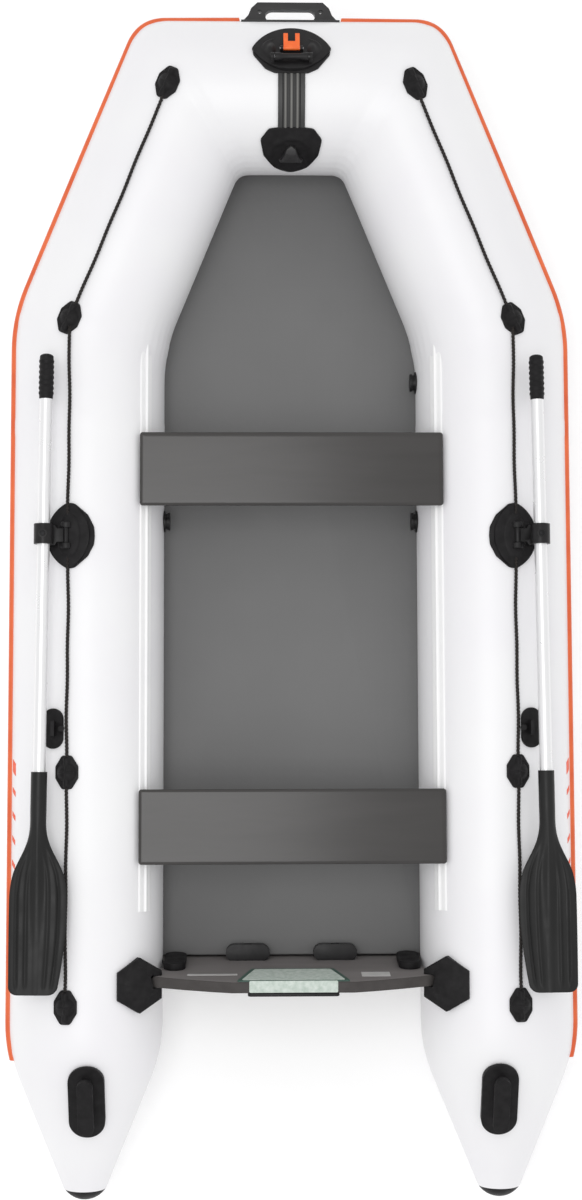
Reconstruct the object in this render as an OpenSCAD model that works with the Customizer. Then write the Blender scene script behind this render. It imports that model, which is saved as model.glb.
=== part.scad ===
// Inflatable dinghy with a raised bow, three air chambers, an air floor, a board transom,
// two sliding thwarts and a pair of oars stowed along the tubes.
// Millimetres. +X is starboard, +Y is the bow, +Z is up. The origin is on the ground,
// under the middle of the overall length and width.

/* [Hull] */
// Overall width across the rub strakes
overall_w = 1570; // [1500:10:1700]
// Diameter of the inflated tubes
tube_d = 420; // [400:5:440]
// Length from the bow face to the ends of the stern cones
hull_len = 3281; // [3150:1:3400]
// Height that the bow tube is lifted above the side tubes
bow_lift = 70; // [40:5:100]
// Half length of the bow tube's centreline
bow_half = 285; // [270:5:300]
// Distance from the bow face to the shoulders, where the side tubes begin
shoulder_run = 885; // [860:5:910]
// Length of each stern cone
cone_len = 370; // [350:5:390]
// Radius of a stern cone at its end
cone_tip_r = 57; // [50:1:60]

/* [Floor and transom] */
// Height of the air floor's upper face
floor_top = 145; // [135:1:150]
// Thickness of the air floor
floor_t = 50; // [40:1:50]
// Lean of the transom towards the stern, in degrees
transom_rake = 7; // [4:1:9]
// Thickness of the transom board
transom_t = 30; // [25:1:35]
// Height of the middle of the transom above the ground
transom_top = 428; // [410:1:435]

/* [Thwarts] */
// Length of a thwart, across the boat
thwart_len = 832; // [824:1:840]
// Depth of a thwart, along the boat
thwart_w = 202; // [190:1:210]
// Thickness of a thwart
thwart_t = 15; // [12:1:18]
// Distance from the bow face to the middle of the front thwart
front_thwart_at = 1290; // [1250:5:1330]
// Distance from the bow face to the middle of the rear thwart
rear_thwart_at = 2265; // [2240:5:2290]

/* [Oars] */
// Diameter of an oar's shaft
shaft_d = 34; // [30:1:36]
// Distance from the bow face to the forward ends of the stowed oars
oar_start = 990; // [970:5:1010]
// Length of an oar
oar_len = 1710; // [1690:5:1730]
// Distance from the bow face to the oarlocks
oarlock_at = 1480; // [1460:5:1500]

/* [Rope] */
// Diameter of the grab rope
rope_d = 9; // [8:0.5:10]

/* [Hidden] */

$fn = 96;
big = 5000;             // side of a block that cuts everything on one side of a plane
gap = 0.3;              // air between pieces that touch softly
run_fit = 0.05;         // radial clearance of a running fit
tube_r = tube_d / 2;
tube_wall = 3;
strake_reach = 8;       // how far the rub strake adds to the tubes' reach, a side
strake_t = 11.6;        // how far it stands off the skin
strake_stop = 146;      // half the gap that it leaves for the bow handle
strake_rise = 12;       // degrees that it lies above the tube's widest line
tube_x = overall_w / 2 - strake_reach - tube_r;
handle_reach = 45;      // how far the bow handle stands out of the bow face
bow_face = (hull_len + handle_reach) / 2 - handle_reach;
cap_len = 30;           // length of a cone cap beyond the cone
cone_start = hull_len - cap_len - cone_len;
cone_slope = atan((tube_r - cone_tip_r) / cone_len);

// The Y coordinate of a place that many millimetres behind the bow face
function aft(distance) = bow_face - distance;

// Corners of the starboard tubes' centreline
bow_mid = [0, aft(strake_reach + tube_r), tube_r + bow_lift];
bow_corner = bow_mid + [bow_half, 0, 0];
shoulder = [tube_x, aft(shoulder_run), tube_r];
stern = [tube_x, aft(cone_start), tube_r];
quarter_way = (shoulder - bow_corner) / norm(shoulder - bow_corner);
bow_mitre = [1, 0, 0] + quarter_way;
shoulder_mitre = quarter_way + [0, -1, 0];

// Rope, pads and rails lie at angles round the tube, measured from the crown outboard
rope_angle = 10.4;
rope_lift = rope_d / 2 + 0.6;
rail_angle = -52.3;
rail_start = 938;
rail_end = 2493;
rail_t = 3;
bead_r = 4;
pad_places = [[2117, rope_angle], [2737, rope_angle]];
pad_t = 9;

// Seats
thwart_z = 362;         // height of a thwart's lower face
shoe_w = 34;
shoe_in = 24;           // distance from a thwart's end to the middle of its shoe

// Oars and oarlocks
hinge_x = tube_x + 44;
hinge_z = 2 * tube_r + 10;
arm_dip = 14;           // how far an oarlock's arm swings down before it meets its foot
oar_x = hinge_x + 57;
oar_z = 2 * tube_r + 38;
pin_r = 4;
lug_r = 8;
barrel_len = 37;
lug_t = 16;
tongue_z = hinge_z - 6;
tongue_t = 10;
collar_len = 54;
collar_r = 26;
bolt_r = 4;
grip_len = 124;
socket_at = 1125;       // where the blade's socket begins, from the oar's forward end
blade_wide = 150;
oar_slant = 0.6;        // degrees that the stowed blade lies outboard

// Air valves
valve_flange_r = 31;
valve_r = 22;
valve_h = 12;
cap_r = 25;
cap_t = 7;
valve_side_at = 1416;   // both side chambers' valves
valve_bow_at = 1019;    // the bow chamber's valve, in the starboard tube
bulkhead_at = 1160;
floor_valve_x = -270;
plunger_r = 6;
cap_hinge_x = 29;       // the cap's hinge axis, in the valve's own frame
cap_hinge_z = 12.3;
cap_pin_r = 1.25;
ear_y = 7.5;
ear_t = 2.4;
ear_r = 3;

// Transom
transom_foot = [0, aft(2638), floor_top];
transom_low = 62;       // height of the board's lower edge beside the tubes
keel_low = 16;          // and over the keel
drain_x = 122;
drain_z = 168;
drain_r = 12.5;
plug_rim = 20;
half_floor = 364;
floor_nose_off = 167.5; // from the raised bow tube's centreline to the floor's edge
bottom_t = 2;
bottom_slope = 0.118;   // rise of the bottom from the keel outwards
bottom_nose = 300;      // where the bottom ends, behind the bow face
plate_top = (transom_top - floor_top) / cos(transom_rake) - 3;

// Fairlead, in its own frame on the bow tube
fairlead_angle = 17.3;
roller_y = -35;
roller_lift = 24;
roller_r = 11;
cheek_x = 52;
cheek_t = 10;
latch_y = -6;
latch_lift = 22;
latch_pin_r = 3;
latch_cheek = 27;

module mirrored(port) { mirror([port ? 1 : 0, 0, 0]) children(); }
module both_sides() { children(); mirror([1, 0, 0]) children(); }

// Stand children up along the line from p to q: +Y points outboard, -X points up
module along(p, q) {
    way = q - p;
    translate(p) rotate([0, acos(way.z / norm(way)), atan2(way.y, way.x)]) children();
}

// Everything on the side of a plane through p that the vector faces
module beyond(p, vector) {
    translate(p)
        rotate([0, acos(vector.z / norm(vector)), atan2(vector.y, vector.x)])
            translate([-big / 2, -big / 2, 0]) cube(big);
}

// Children that lie along the centreline from p to q, cut by the mitre planes at its ends
module mitred(p, q, mitre_p, mitre_q) {
    intersection() {
        along(p, q) translate([0, 0, -tube_d]) children();
        beyond(p, mitre_p);
        beyond(q, -mitre_q);
    }
}

// A round bar beside the centreline, at an angle from the crown and a distance out
module mitred_bar(p, q, mitre_p, mitre_q, bar_r, angle = 0, distance = 0) {
    mitred(p, q, mitre_p, mitre_q) rotate(-angle) translate([-distance, 0, 0])
        cylinder(r = bar_r, h = norm(q - p) + 2 * tube_d);
}

module bow_bar(bar_r, angle = 0, distance = 0) {
    left = [-bow_corner.x, bow_corner.y, bow_corner.z];
    mitred_bar(left, bow_corner, [bow_mitre.x, -bow_mitre.y, -bow_mitre.z], bow_mitre,
               bar_r, angle, distance);
}

module quarter_bar(bar_r, angle = 0, distance = 0) {
    mitred_bar(bow_corner, shoulder, bow_mitre, shoulder_mitre, bar_r, angle, distance);
}

module side_bar(bar_r, angle = 0, distance = 0, end = cone_start) {
    mitred_bar(shoulder, [tube_x, aft(end), tube_r], shoulder_mitre, [0, -1, 0],
               bar_r, angle, distance);
}

module stern_bar(extra = 0) {
    along(stern, stern + [0, -cone_len, 0])
        cylinder(r1 = tube_r + extra, r2 = cone_tip_r + extra, h = cone_len);
}

// Place children on a side tube: origin on the skin, +Z out of it, +Y towards the bow
module on_side(distance, angle, lift = 0) {
    translate([tube_x, aft(distance), tube_r]) rotate([0, angle, 0])
        translate([0, 0, tube_r + lift]) children();
}

// Place children on the bow tube, at an angle forward of its crown
module on_bow(angle, lift = 0) {
    translate(bow_mid) rotate([-angle, 0, 0]) translate([0, 0, tube_r + lift]) children();
}

// A pointed oval, from two arcs that cross at its ends
module pointed_oval(half_len, half_w) {
    arc_r = (half_len * half_len + half_w * half_w) / (2 * half_w);
    intersection_for(s = [-1, 1]) translate([s * (arc_r - half_w), 0]) circle(arc_r);
}

module slot_shape(length, width) {
    union() {
        square([length - width, width], center = true);
        for (s = [-1, 1]) translate([s * (length - width) / 2, 0]) circle(d = width);
    }
}

module tube_color() { color([0.94, 0.94, 0.95]) children(); }
module black_part() { color([0.18, 0.18, 0.18]) children(); }

// ---- Tubes ----
module bow_tube() {
    tube_color() difference() { bow_bar(tube_r); translate(bow_mid) rotate([0, 90, 0])
        cylinder(r = tube_r - tube_wall, h = big, center = true); }
}

module quarter_tube() {
    tube_color() difference() {
        quarter_bar(tube_r);
        along(bow_corner, shoulder) translate([0, 0, -tube_d])
            cylinder(r = tube_r - tube_wall, h = big / 2);
    }
}

module side_tube(valves) {
    tube_color() difference() {
        side_bar(tube_r);
        translate([tube_x, 0, tube_r]) rotate([90, 0, 0])
            cylinder(r = tube_r - tube_wall, h = big, center = true);
        for (at = valves) on_side(at, -90, -2 * valve_h) cylinder(r = valve_r + gap, h = 4 * valve_h);
    }
}

module stern_cone() {
    tube_color() difference() {
        stern_bar();
        stern_bar(-tube_wall);
        along(stern, stern + [0, -cone_len, 0]) translate([0, 0, cone_len - 1])
            cylinder(r = cone_tip_r - tube_wall, h = 2);
        along(stern, stern + [0, -cone_len, 0]) translate([0, 0, -1])
            cylinder(r = tube_r - tube_wall, h = 2);
    }
}

// Fabric walls across the tubes, between the bow chamber and the side chambers
module chamber_bulkheads() {
    color([0.85, 0.85, 0.85]) both_sides() translate([tube_x, aft(bulkhead_at), tube_r])
        rotate([90, 0, 0]) cylinder(r = tube_r - tube_wall - gap, h = 2);
}

module cone_caps() {
    dome_r = (cone_tip_r * cone_tip_r + cap_len * cap_len) / (2 * cap_len);
    black_part() both_sides() along(stern, stern + [0, -cone_len, 0]) translate([0, 0, cone_len]) {
        intersection() {
            translate([0, 0, cap_len - dome_r]) sphere(dome_r);
            cylinder(r = cone_tip_r, h = cap_len);
        }
        translate([0, 0, -12]) difference() {
            cylinder(r = cone_tip_r - tube_wall - gap, h = 12);
            translate([0, 0, -1]) cylinder(r = cone_tip_r - 4 * tube_wall, h = 12);
        }
    }
}

// The D-shaped strake that takes the knocks of a quay
module strake_section() {
    half_h = 13;
    back = tube_r + gap / 2;
    reach = strake_t - gap / 2;
    linear_extrude(big / 2) rotate(strake_rise) polygon([for (a = [-90 : 15 : 90])
        [half_h * sin(a), back + reach * pow(cos(a), 0.7)]]);
}

module rub_strake() {
    port_corner = [-bow_corner.x, bow_corner.y, bow_corner.z];
    port_mitre = [bow_mitre.x, -bow_mitre.y, -bow_mitre.z];
    color([0.91, 0.39, 0.18]) union() {
        // it stops on either side of the bow handle's foot
        difference() {
            mitred(port_corner, bow_corner, port_mitre, bow_mitre) strake_section();
            translate([0, bow_face, bow_mid.z]) cube([2 * strake_stop, 200, 300], center = true);
        }
        both_sides() {
            mitred(bow_corner, shoulder, bow_mitre, shoulder_mitre) strake_section();
            mitred(shoulder, stern, shoulder_mitre, [0, -1, 0]) strake_section();
        }
    }
}

// ---- Floor, bottom and keel ----
module air_floor() {
    side_in = [-quarter_way.y, quarter_way.x] / norm([quarter_way.x, quarter_way.y]);
    keep_off = tube_x - half_floor;
    nose = [bow_corner.x, bow_corner.y] - floor_nose_off * side_in;
    tail = [shoulder.x, shoulder.y] - keep_off * side_in;
    slope = (tail.x - nose.x) / (nose.y - tail.y);
    nose_y = bow_mid.y - floor_nose_off;
    nose_x = nose.x + slope * (nose.y - nose_y);
    shoulder_y = tail.y - (half_floor - tail.x) / slope;
    stern_y = transom_foot.y + floor_t * tan(transom_rake) + gap;
    color([0.45, 0.45, 0.45]) difference() {
        translate([0, 0, floor_top - floor_t]) linear_extrude(floor_t)
            polygon([[-nose_x, nose_y], [nose_x, nose_y], [half_floor, shoulder_y],
                     [half_floor, stern_y], [-half_floor, stern_y], [-half_floor, shoulder_y]]);
        floor_valve_place() translate([0, 0, -2 * valve_h])
            cylinder(r = valve_r + gap, h = 4 * valve_h);
    }
}

// One station of the bottom: the lower and upper sides of a shallow V. Every station has
// the same slope across, so each panel between two stations is flat
function station(distance, half_w, keel_z) = let (edge_z = keel_z + bottom_slope * half_w) [
    [-half_w, aft(distance), edge_z], [0, aft(distance), keel_z], [half_w, aft(distance), edge_z],
    [half_w, aft(distance), edge_z + bottom_t], [0, aft(distance), keel_z + bottom_t],
    [-half_w, aft(distance), edge_z + bottom_t]];

// The fabric bottom, glued to the undersides of the tubes, with a shallow V over the keel
module hull_bottom() {
    stations = [station(2630, 415, 8), station(920, 415, 8), station(640, 305, 46),
                station(bottom_nose, 215, 56)];
    sides = 6;
    last = (len(stations) - 1) * sides;
    color([0.5, 0.5, 0.52]) union() {
        polyhedron(
            points = [for (s = stations) each s],
            faces = concat(
                [[4, 1, 0], [5, 4, 0], [3, 2, 1], [4, 3, 1]],
                [for (k = [0 : len(stations) - 2], i = [0 : sides - 1])
                    [k * sides + i, k * sides + (i + 1) % sides, (k + 1) * sides + i]],
                [for (k = [0 : len(stations) - 2], i = [0 : sides - 1])
                    [k * sides + (i + 1) % sides, (k + 1) * sides + (i + 1) % sides,
                     (k + 1) * sides + i]],
                [for (f = [[0, 1, 4], [0, 4, 5], [1, 2, 3], [1, 3, 4]]) [for (i = f) i + last]]));
        nose_panel();
    }
}

// A small upright panel that closes the V under the bow tube
module nose_panel() {
    nose_top = 86;
    translate([0, aft(bottom_nose + 1), 0]) rotate([90, 0, 0]) linear_extrude(bottom_t)
        polygon([[-210, 82], [0, 57], [210, 82], [195, nose_top], [-195, nose_top]]);
}

module keel_tube() {
    keel_r = 40;
    keel_z = 53;
    color([0.6, 0.6, 0.62])
        translate([0, aft(2570), keel_z]) rotate([-90, 0, 0]) union() {
            cylinder(r = keel_r, h = 1560);
            translate([0, 0, 1560]) sphere(keel_r);
        }
}

// ---- Transom ----
// The transom's own upright frame: +Y is its front face, the origin at the floor line
module on_transom() { translate(transom_foot) rotate([transom_rake, 0, 0]) children(); }

module board_shape(extra) {
    high = (transom_top - floor_top) / cos(transom_rake) + extra;
    crown_half = 165;    // half of the straight stretch that the motor clamps to
    on_transom() translate([0, extra, 0]) rotate([90, 0, 0]) linear_extrude(transom_t + 2 * extra)
        polygon([[-450, transom_low - floor_top], [0, keel_low - floor_top],
                 [450, transom_low - floor_top], [450, high - 65], [370, high - 57],
                 [crown_half, high], [-crown_half, high], [-370, high - 57], [-450, high - 65]]);
}

module transom_board() {
    color([0.42, 0.40, 0.40]) difference() {
        board_shape(0);
        both_sides() translate([tube_x, 0, tube_r]) rotate([90, 0, 0])
            cylinder(r = tube_r + 1.5, h = big, center = true);
        drain_bores();
    }
}

module drain_bores() {
    for (s = [-1, 1]) translate([s * drain_x, 0, drain_z]) on_drain_axis()
        cylinder(r = drain_r, h = 240, center = true);
}

// Lay children's Z along the drains, which run straight fore and aft
module on_drain_axis() { translate([0, transom_foot.y, 0]) rotate([90, 0, 0]) children(); }

module motor_plate(half_top, half_low, height, thick) {
    rotate([90, 0, 0]) linear_extrude(thick) polygon([
        [-half_top, 0], [-half_low, -height], [half_low, -height], [half_top, 0]]);
}

module inner_motor_plate() {
    color([0.64, 0.69, 0.65]) on_transom() translate([0, 4 + gap, plate_top])
        motor_plate(152, 112, 137, 4);
}

module outer_motor_plate() {
    black_part() on_transom() translate([0, -transom_t - gap, plate_top])
        motor_plate(122, 122, 150, 8);
}

// The rubber knees that carry the transom's ends: a six-sided boot on each tube and a lobe
// down the board's front face
module transom_knees() {
    black_part() both_sides() difference() {
        union() {
            translate([tube_x - 143, aft(2686), 2 * tube_r - 70]) rotate([0, -27, 0]) {
                rotate(30) cylinder(r = 74, h = 32, $fn = 6);
                translate([0, 0, 26]) cylinder(r1 = 60, r2 = 30, h = 16);
            }
            on_transom() translate([322, gap, 42]) rotate([-90, 0, 0]) linear_extrude(20)
                translate([0, -42]) slot_shape_y(144, 60);
        }
        side_skin();
        board_shape(gap);
    }
}

// Low rounded hoods over the two drains
module drain_housings() {
    black_part() for (s = [-1, 1]) difference() {
        translate([s * drain_x, transom_foot.y + 16, floor_top + gap])
            linear_extrude(40) slot_shape(122, 47);
        on_transom() translate([-big / 2, -transom_t - 50, -20]) cube([big, transom_t + 50 + gap, 200]);
        drain_bores();
    }
}

module drain_plug(side) {
    black_part() difference() {
        translate([side * drain_x, 0, drain_z]) on_drain_axis() union() {
            translate([0, 0, -24]) cylinder(r = drain_r - run_fit, h = 24 + transom_t + 12);
            translate([0, 0, transom_t + 12]) cylinder(r = plug_rim, h = 10);
            translate([-plug_rim + 4, -4, transom_t + 22]) cube([2 * plug_rim - 8, 8, 12]);
        }
        translate([side * drain_x, 0, drain_z]) on_drain_axis() translate([0, 0, -25])
            cylinder(r = drain_r - 5, h = 40);
    }
}

// ---- Seats ----
// A white band glued to the tube, with the bead that the thwart's shoes run on
module seat_rails() {
    color([0.97, 0.97, 0.97]) both_sides() translate([tube_x, aft(rail_start), tube_r])
        rotate([90, 0, 0]) rotate(90 - rail_angle) union() {
            intersection() {
                difference() {
                    cylinder(r = tube_r + gap / 2 + rail_t, h = rail_end - rail_start);
                    translate([0, 0, -1]) cylinder(r = tube_r + gap / 2, h = big);
                }
                translate([tube_r, 0, -1]) cube([60, 50, 2 * big], center = true);
            }
            translate([tube_r + rail_t + 2, 0, 0]) cylinder(r = bead_r, h = rail_end - rail_start);
        }
}

module thwart(at) {
    color([0.40, 0.38, 0.38]) translate([0, aft(at), thwart_z]) {
        linear_extrude(thwart_t) square([thwart_len, thwart_w], center = true);
    }
}

module thwart_shoes(at) {
    x = thwart_len / 2 - shoe_in;
    black_part() both_sides() difference() {
        translate([x - shoe_w / 2, aft(at) - 70, tube_r + 100])
            cube([shoe_w, 140, thwart_z - tube_r - 100 - gap]);
        translate([tube_x, 0, tube_r]) rotate([90, 0, 0])
            cylinder(r = tube_r + rail_t + gap, h = big, center = true);
        translate([tube_x, 0, tube_r]) rotate([90, 0, 0]) rotate(90 - rail_angle)
            translate([tube_r + rail_t + 2, 0, 0]) cylinder(r = bead_r + gap, h = big, center = true);
    }
}

// ---- Oarlocks ----
module oarlock_base() {
    black_part() difference() {
        union() {
            on_side(oarlock_at, rope_angle, -20) linear_extrude(28) pointed_oval(90, 59);
            for (s = [-1, 1]) translate([hinge_x, aft(oarlock_at) + s * (barrel_len + lug_t + 1) / 2,
                                         hinge_z]) {
                rotate([90, 0, 0]) cylinder(r = lug_r, h = lug_t, center = true);
                translate([-lug_r, -lug_t / 2, -18]) cube([2 * lug_r, lug_t, 18]);
            }
        }
        side_skin();
        // the stop face that the arm comes down on, with room for the bolt's nut
        translate([hinge_x, aft(oarlock_at), hinge_z]) rotate([0, arm_dip + 1, 0]) {
            translate([0, 0, tongue_z - hinge_z - 0.5]) linear_extrude(60) polygon([
                [11, -19.5], [22, -19.5], [29, -29], [110, -29],
                [110, 29], [29, 29], [22, 19.5], [11, 19.5]]);
            translate([oar_x - hinge_x, 0, -40]) cylinder(r = 14, h = 80);
        }
        translate([hinge_x, aft(oarlock_at), hinge_z]) rotate([90, 0, 0])
            cylinder(r = pin_r, h = big, center = true);
        translate([hinge_x - lug_r - 1, aft(oarlock_at) - barrel_len / 2 - gap, hinge_z - lug_r - 1])
            cube([100, barrel_len + 2 * gap, 40]);
        for (s = [-1, 1]) translate([tube_x, aft(oarlock_at) + s * 75, tube_r])
            rotate([90, rope_angle, 0]) translate([0, tube_r + rope_lift, 0])
                cylinder(r = rope_d / 2 + gap, h = 60, center = true);
    }
}

// The room that the side tube takes up, and a hair more
module side_skin() {
    translate([tube_x, 0, tube_r]) rotate([90, 0, 0])
        cylinder(r = tube_r + gap, h = big, center = true);
}

module hinge_pins() {
    color([0.75, 0.76, 0.77]) {
        both_sides() translate([hinge_x, aft(oarlock_at), hinge_z]) rotate([90, 0, 0])
            cylinder(r = pin_r - run_fit, h = barrel_len + 2 * lug_t, center = true);
        on_bow(fairlead_angle, roller_lift) translate([0, roller_y, 0]) rotate([0, 90, 0])
            cylinder(r = pin_r - run_fit, h = 2 * cheek_x + cheek_t - 2, center = true);
        on_bow(fairlead_angle, latch_lift) translate([0, latch_y, 0]) rotate([0, 90, 0])
            cylinder(r = latch_pin_r - run_fit, h = 2 * latch_cheek + 10, center = true);
    }
}

module oarlock_arm() {
    tongue_end = oar_x - hinge_x + 27;
    black_part() translate([hinge_x, aft(oarlock_at), hinge_z]) difference() {
        union() {
            rotate([90, 0, 0]) cylinder(r = lug_r, h = barrel_len, center = true);
            translate([0, 0, tongue_z - hinge_z]) linear_extrude(tongue_t) polygon([
                [0, -18], [24, -18], [30, -27], [tongue_end - 12, -27], [tongue_end, -15],
                [tongue_end, 15], [tongue_end - 12, 27], [30, 27], [24, 18], [0, 18]]);
        }
        rotate([90, 0, 0]) cylinder(r = pin_r, h = 100, center = true);
        translate([oar_x - hinge_x, 0, -30]) cylinder(r = bolt_r, h = 60);
    }
}

// Lay children's Z along the stowed oar, aft from its grip; it lies a little askew
module on_oar() {
    translate([oar_x, aft(oarlock_at), oar_z]) rotate(oar_slant)
        translate([0, oarlock_at - oar_start, 0]) rotate([90, 0, 0]) children();
}

// The bolt's hole, straight down through the oar at the oarlock
module bolt_hole() {
    translate([oar_x, aft(oarlock_at), tongue_z - 60]) cylinder(r = bolt_r, h = 140);
}

module oar_collar() {
    black_part() difference() {
        union() {
            translate([oar_x, aft(oarlock_at), oar_z]) rotate([90, 0, 0])
                cylinder(r = collar_r, h = collar_len, center = true);
            translate([oar_x, aft(oarlock_at), oar_z]) cylinder(r = 12, h = collar_r + 1);
        }
        translate([oar_x - 60, aft(oarlock_at) - 60, oar_z - 80])
            cube([120, 120, 80 - (oar_z - tongue_z - tongue_t - gap)]);
        on_oar() cylinder(d = shaft_d, h = oar_len);
        bolt_hole();
    }
}

module collar_bolt() {
    low = tongue_z - 8;
    color([0.3, 0.3, 0.3]) translate([oar_x, aft(oarlock_at), 0]) {
        translate([0, 0, low + 1]) cylinder(r = bolt_r - run_fit, h = oar_z + collar_r + 2 - low);
        translate([0, 0, oar_z + collar_r + 1 + gap]) cylinder(r = 8, h = 5, $fn = 6);
        translate([0, 0, low]) cylinder(r = 8, h = 8 - gap, $fn = 6);
    }
}

// ---- Oars ----
module oar_shaft() {
    start = grip_len - 90;
    color([0.93, 0.93, 0.94]) difference() {
        on_oar() translate([0, 0, start]) cylinder(d = shaft_d, h = socket_at + 90 - start);
        on_oar() cylinder(d = shaft_d - 4, h = oar_len);
        bolt_hole();
    }
}

// The rubber grip: a closed sleeve with finger ribs
module oar_grip() {
    rib = 7;
    black_part() on_oar() difference() {
        union() {
            cylinder(r = 19, h = grip_len);
            for (k = [0 : 6]) translate([0, 0, 18 + k * 2 * rib]) cylinder(r = 20.5, h = rib);
        }
        translate([0, 0, grip_len - 90]) cylinder(d = shaft_d, h = 100);
    }
}

// Half widths of the blade at even steps from its neck to its end
function blade_half(t) = 12 + (blade_wide / 2 - 12) * pow(sin(90 * min(1, t * 1.7)), 1.3)
    - 12 * pow(max(0, t - 0.6) / 0.4, 2);
module oar_blade() {
    neck_at = socket_at + 60;
    blade_len = oar_len - neck_at;
    steps = 24;
    round_r = 26;
    side = [for (k = [0 : steps - 2]) let (t = k / steps) [blade_half(t), neck_at + t * blade_len]];
    tip_w = blade_half(1);
    corner = [for (a = [0 : 15 : 90])
        [tip_w - round_r + round_r * cos(a), oar_len - round_r + round_r * sin(a)]];
    half = concat(side, corner);
    outline = concat(half, [for (k = [len(half) - 1 : -1 : 0]) [-half[k].x, half[k].y]]);
    spine_end = neck_at + 0.62 * blade_len;
    black_part() on_oar() difference() {
        union() {
            rotate([90, 0, 0]) translate([0, 0, -3]) linear_extrude(6) polygon(outline);
            translate([0, 0, socket_at]) cylinder(r = 21.5, h = 95);
            translate([0, 0, socket_at + 95]) cylinder(r1 = 21.5, r2 = 4, h = spine_end - socket_at - 95);
        }
        translate([0, 0, socket_at - 1]) cylinder(d = shaft_d, h = 91);
    }
}

// A pad with one post inboard of the shaft, so that the oar lifts out to the side
module oar_holders() {
    black_part() both_sides() difference() {
        union() {
            on_side(2000, 21, -12) linear_extrude(20) slot_shape_y(108, 58);
            translate([oar_x - shaft_d / 2 - 13, aft(2000) - 20, 2 * tube_r - 30]) cube([10, 40, 56]);
            translate([oar_x - shaft_d / 2 - 30, aft(2000), 2 * tube_r - 20])
                cylinder(r = 8, h = 34);
        }
        side_skin();
    }
}

module slot_shape_y(length, width) { rotate(90) slot_shape(length, width); }

// ---- Rope ----
module rope_run(bar_r) {
    quarter_bar(bar_r, rope_angle, tube_r + rope_lift);
    side_bar(bar_r, rope_angle, tube_r + rope_lift, 2737);
}

module grab_rope() {
    color([0.12, 0.11, 0.11]) difference() {
        rope_run(rope_d / 2);
        // the rope begins inside the first pad, a little behind the bow tube's corner
        translate([0, aft(228), 0]) cube([big, big / 2, big]);
        translate([oar_x, aft(oarlock_at), 0]) cube([300, 130, big], center = true);
        translate([tube_x, aft(oarlock_at), 2 * tube_r]) cube([200, 130, 200], center = true);
    }
}

// One pad: a flat six-sided foot with a dome, which the rope runs through
module rope_pad() {
    dome_r = (32 * 32 + 18 * 18) / (2 * 18);
    translate([0, 0, -12]) linear_extrude(12 + pad_t) union() {
        circle(r = 34);
        polygon([[-26, -22], [-26, 22], [-8, 45], [8, 45], [26, 22], [26, -22], [8, -45], [-8, -45]]);
    }
    intersection() {
        translate([0, 0, 22 - dome_r]) sphere(dome_r);
        cylinder(r = 32, h = 30);
    }
}

module rope_pads() {
    quarter_len = norm(shoulder - bow_corner);
    black_part() both_sides() difference() {
        union() {
            for (place = pad_places) on_side(place[0], place[1]) rope_pad();
            along(bow_corner, shoulder) rotate(-rope_angle)
                for (z = [26, quarter_len - 8]) translate([-tube_r, 0, z])
                    rotate([90, 0, -90]) rope_pad();
        }
        rope_run(rope_d / 2 + gap);
        side_skin();
        along(bow_corner, shoulder) translate([0, 0, -200])
            cylinder(r = tube_r + gap, h = quarter_len + 400);
        translate(bow_mid) rotate([0, 90, 0]) cylinder(r = tube_r + gap, h = 2 * bow_half, center = true);
    }
}

// ---- Bow fittings ----
module fairlead_base() {
    black_part() on_bow(fairlead_angle) difference() {
        union() {
            translate([0, 4, -20]) linear_extrude(30) rotate(90) pointed_oval(108, 67);
            for (s = [-1, 1]) {
                translate([s * cheek_x, roller_y, roller_lift]) rotate([0, 90, 0])
                    cylinder(r = 11, h = cheek_t, center = true);
                translate([s * cheek_x - cheek_t / 2, roller_y - 11, 0]) cube([cheek_t, 22, roller_lift]);
                translate([s * latch_cheek - 4, latch_y, latch_lift]) rotate([0, 90, 0])
                    cylinder(r = 7, h = 8);
                translate([s * latch_cheek - 4, latch_y - 7, 0]) cube([8, 14, latch_lift]);
            }
        }
        translate([0, 0, -tube_r]) rotate([0, 90, 0]) cylinder(r = tube_r + gap, h = big, center = true);
        translate([0, roller_y, roller_lift]) rotate([0, 90, 0]) cylinder(r = pin_r, h = 200, center = true);
        translate([0, latch_y, latch_lift]) rotate([0, 90, 0])
            cylinder(r = latch_pin_r, h = 2 * latch_cheek + 12, center = true);
    }
}

module fairlead_roller() {
    color([0.25, 0.25, 0.25]) on_bow(fairlead_angle, roller_lift) translate([0, roller_y, 0])
        rotate([0, 90, 0]) rotate_extrude() polygon([
            [pin_r, -46], [roller_r, -46], [roller_r, -36], [roller_r - 3, -20], [roller_r - 3, 20],
            [roller_r, 36], [roller_r, 46], [pin_r, 46]]);
}

// The orange latch: a fork that pinches the painter against the roller
module rope_latch() {
    color([0.97, 0.42, 0.14]) on_bow(fairlead_angle, latch_lift) translate([0, latch_y, 0]) difference() {
        union() {
            rotate([0, 90, 0]) cylinder(r = 6, h = 2 * latch_cheek - 9, center = true);
            translate([-22, 0, -3]) cube([44, 20, 8]);
            for (s = [-1, 1]) translate([s * 16 - 6, 0, -3]) cube([12, 46, 8]);
        }
        rotate([0, 90, 0]) cylinder(r = latch_pin_r, h = 100, center = true);
    }
}

// A fluted strip that saves the tube from the anchor line
module wear_strip() {
    black_part() translate(bow_mid) rotate([0, 90, 0]) rotate([0, 0, 180]) rotate(2)
        rotate_extrude(angle = 33) union() {
            translate([tube_r + gap, -37]) square([5, 74]);
            for (x = [-30 : 15 : 30]) translate([tube_r + gap + 5, x]) circle(r = 3.5);
        }
}

module towing_pad() {
    black_part() on_bow(-63) difference() {
        union() {
            translate([0, 0, -30]) linear_extrude(38) union() {
                pointed_oval(78, 80);
                translate([0, 30]) circle(r = 66);
            }
            translate([0, -22, 0]) cylinder(r1 = 34, r2 = 20, h = 24, $fn = 3);
        }
        translate([0, 0, -tube_r]) rotate([0, 90, 0]) cylinder(r = tube_r + gap, h = big, center = true);
    }
}

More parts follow.
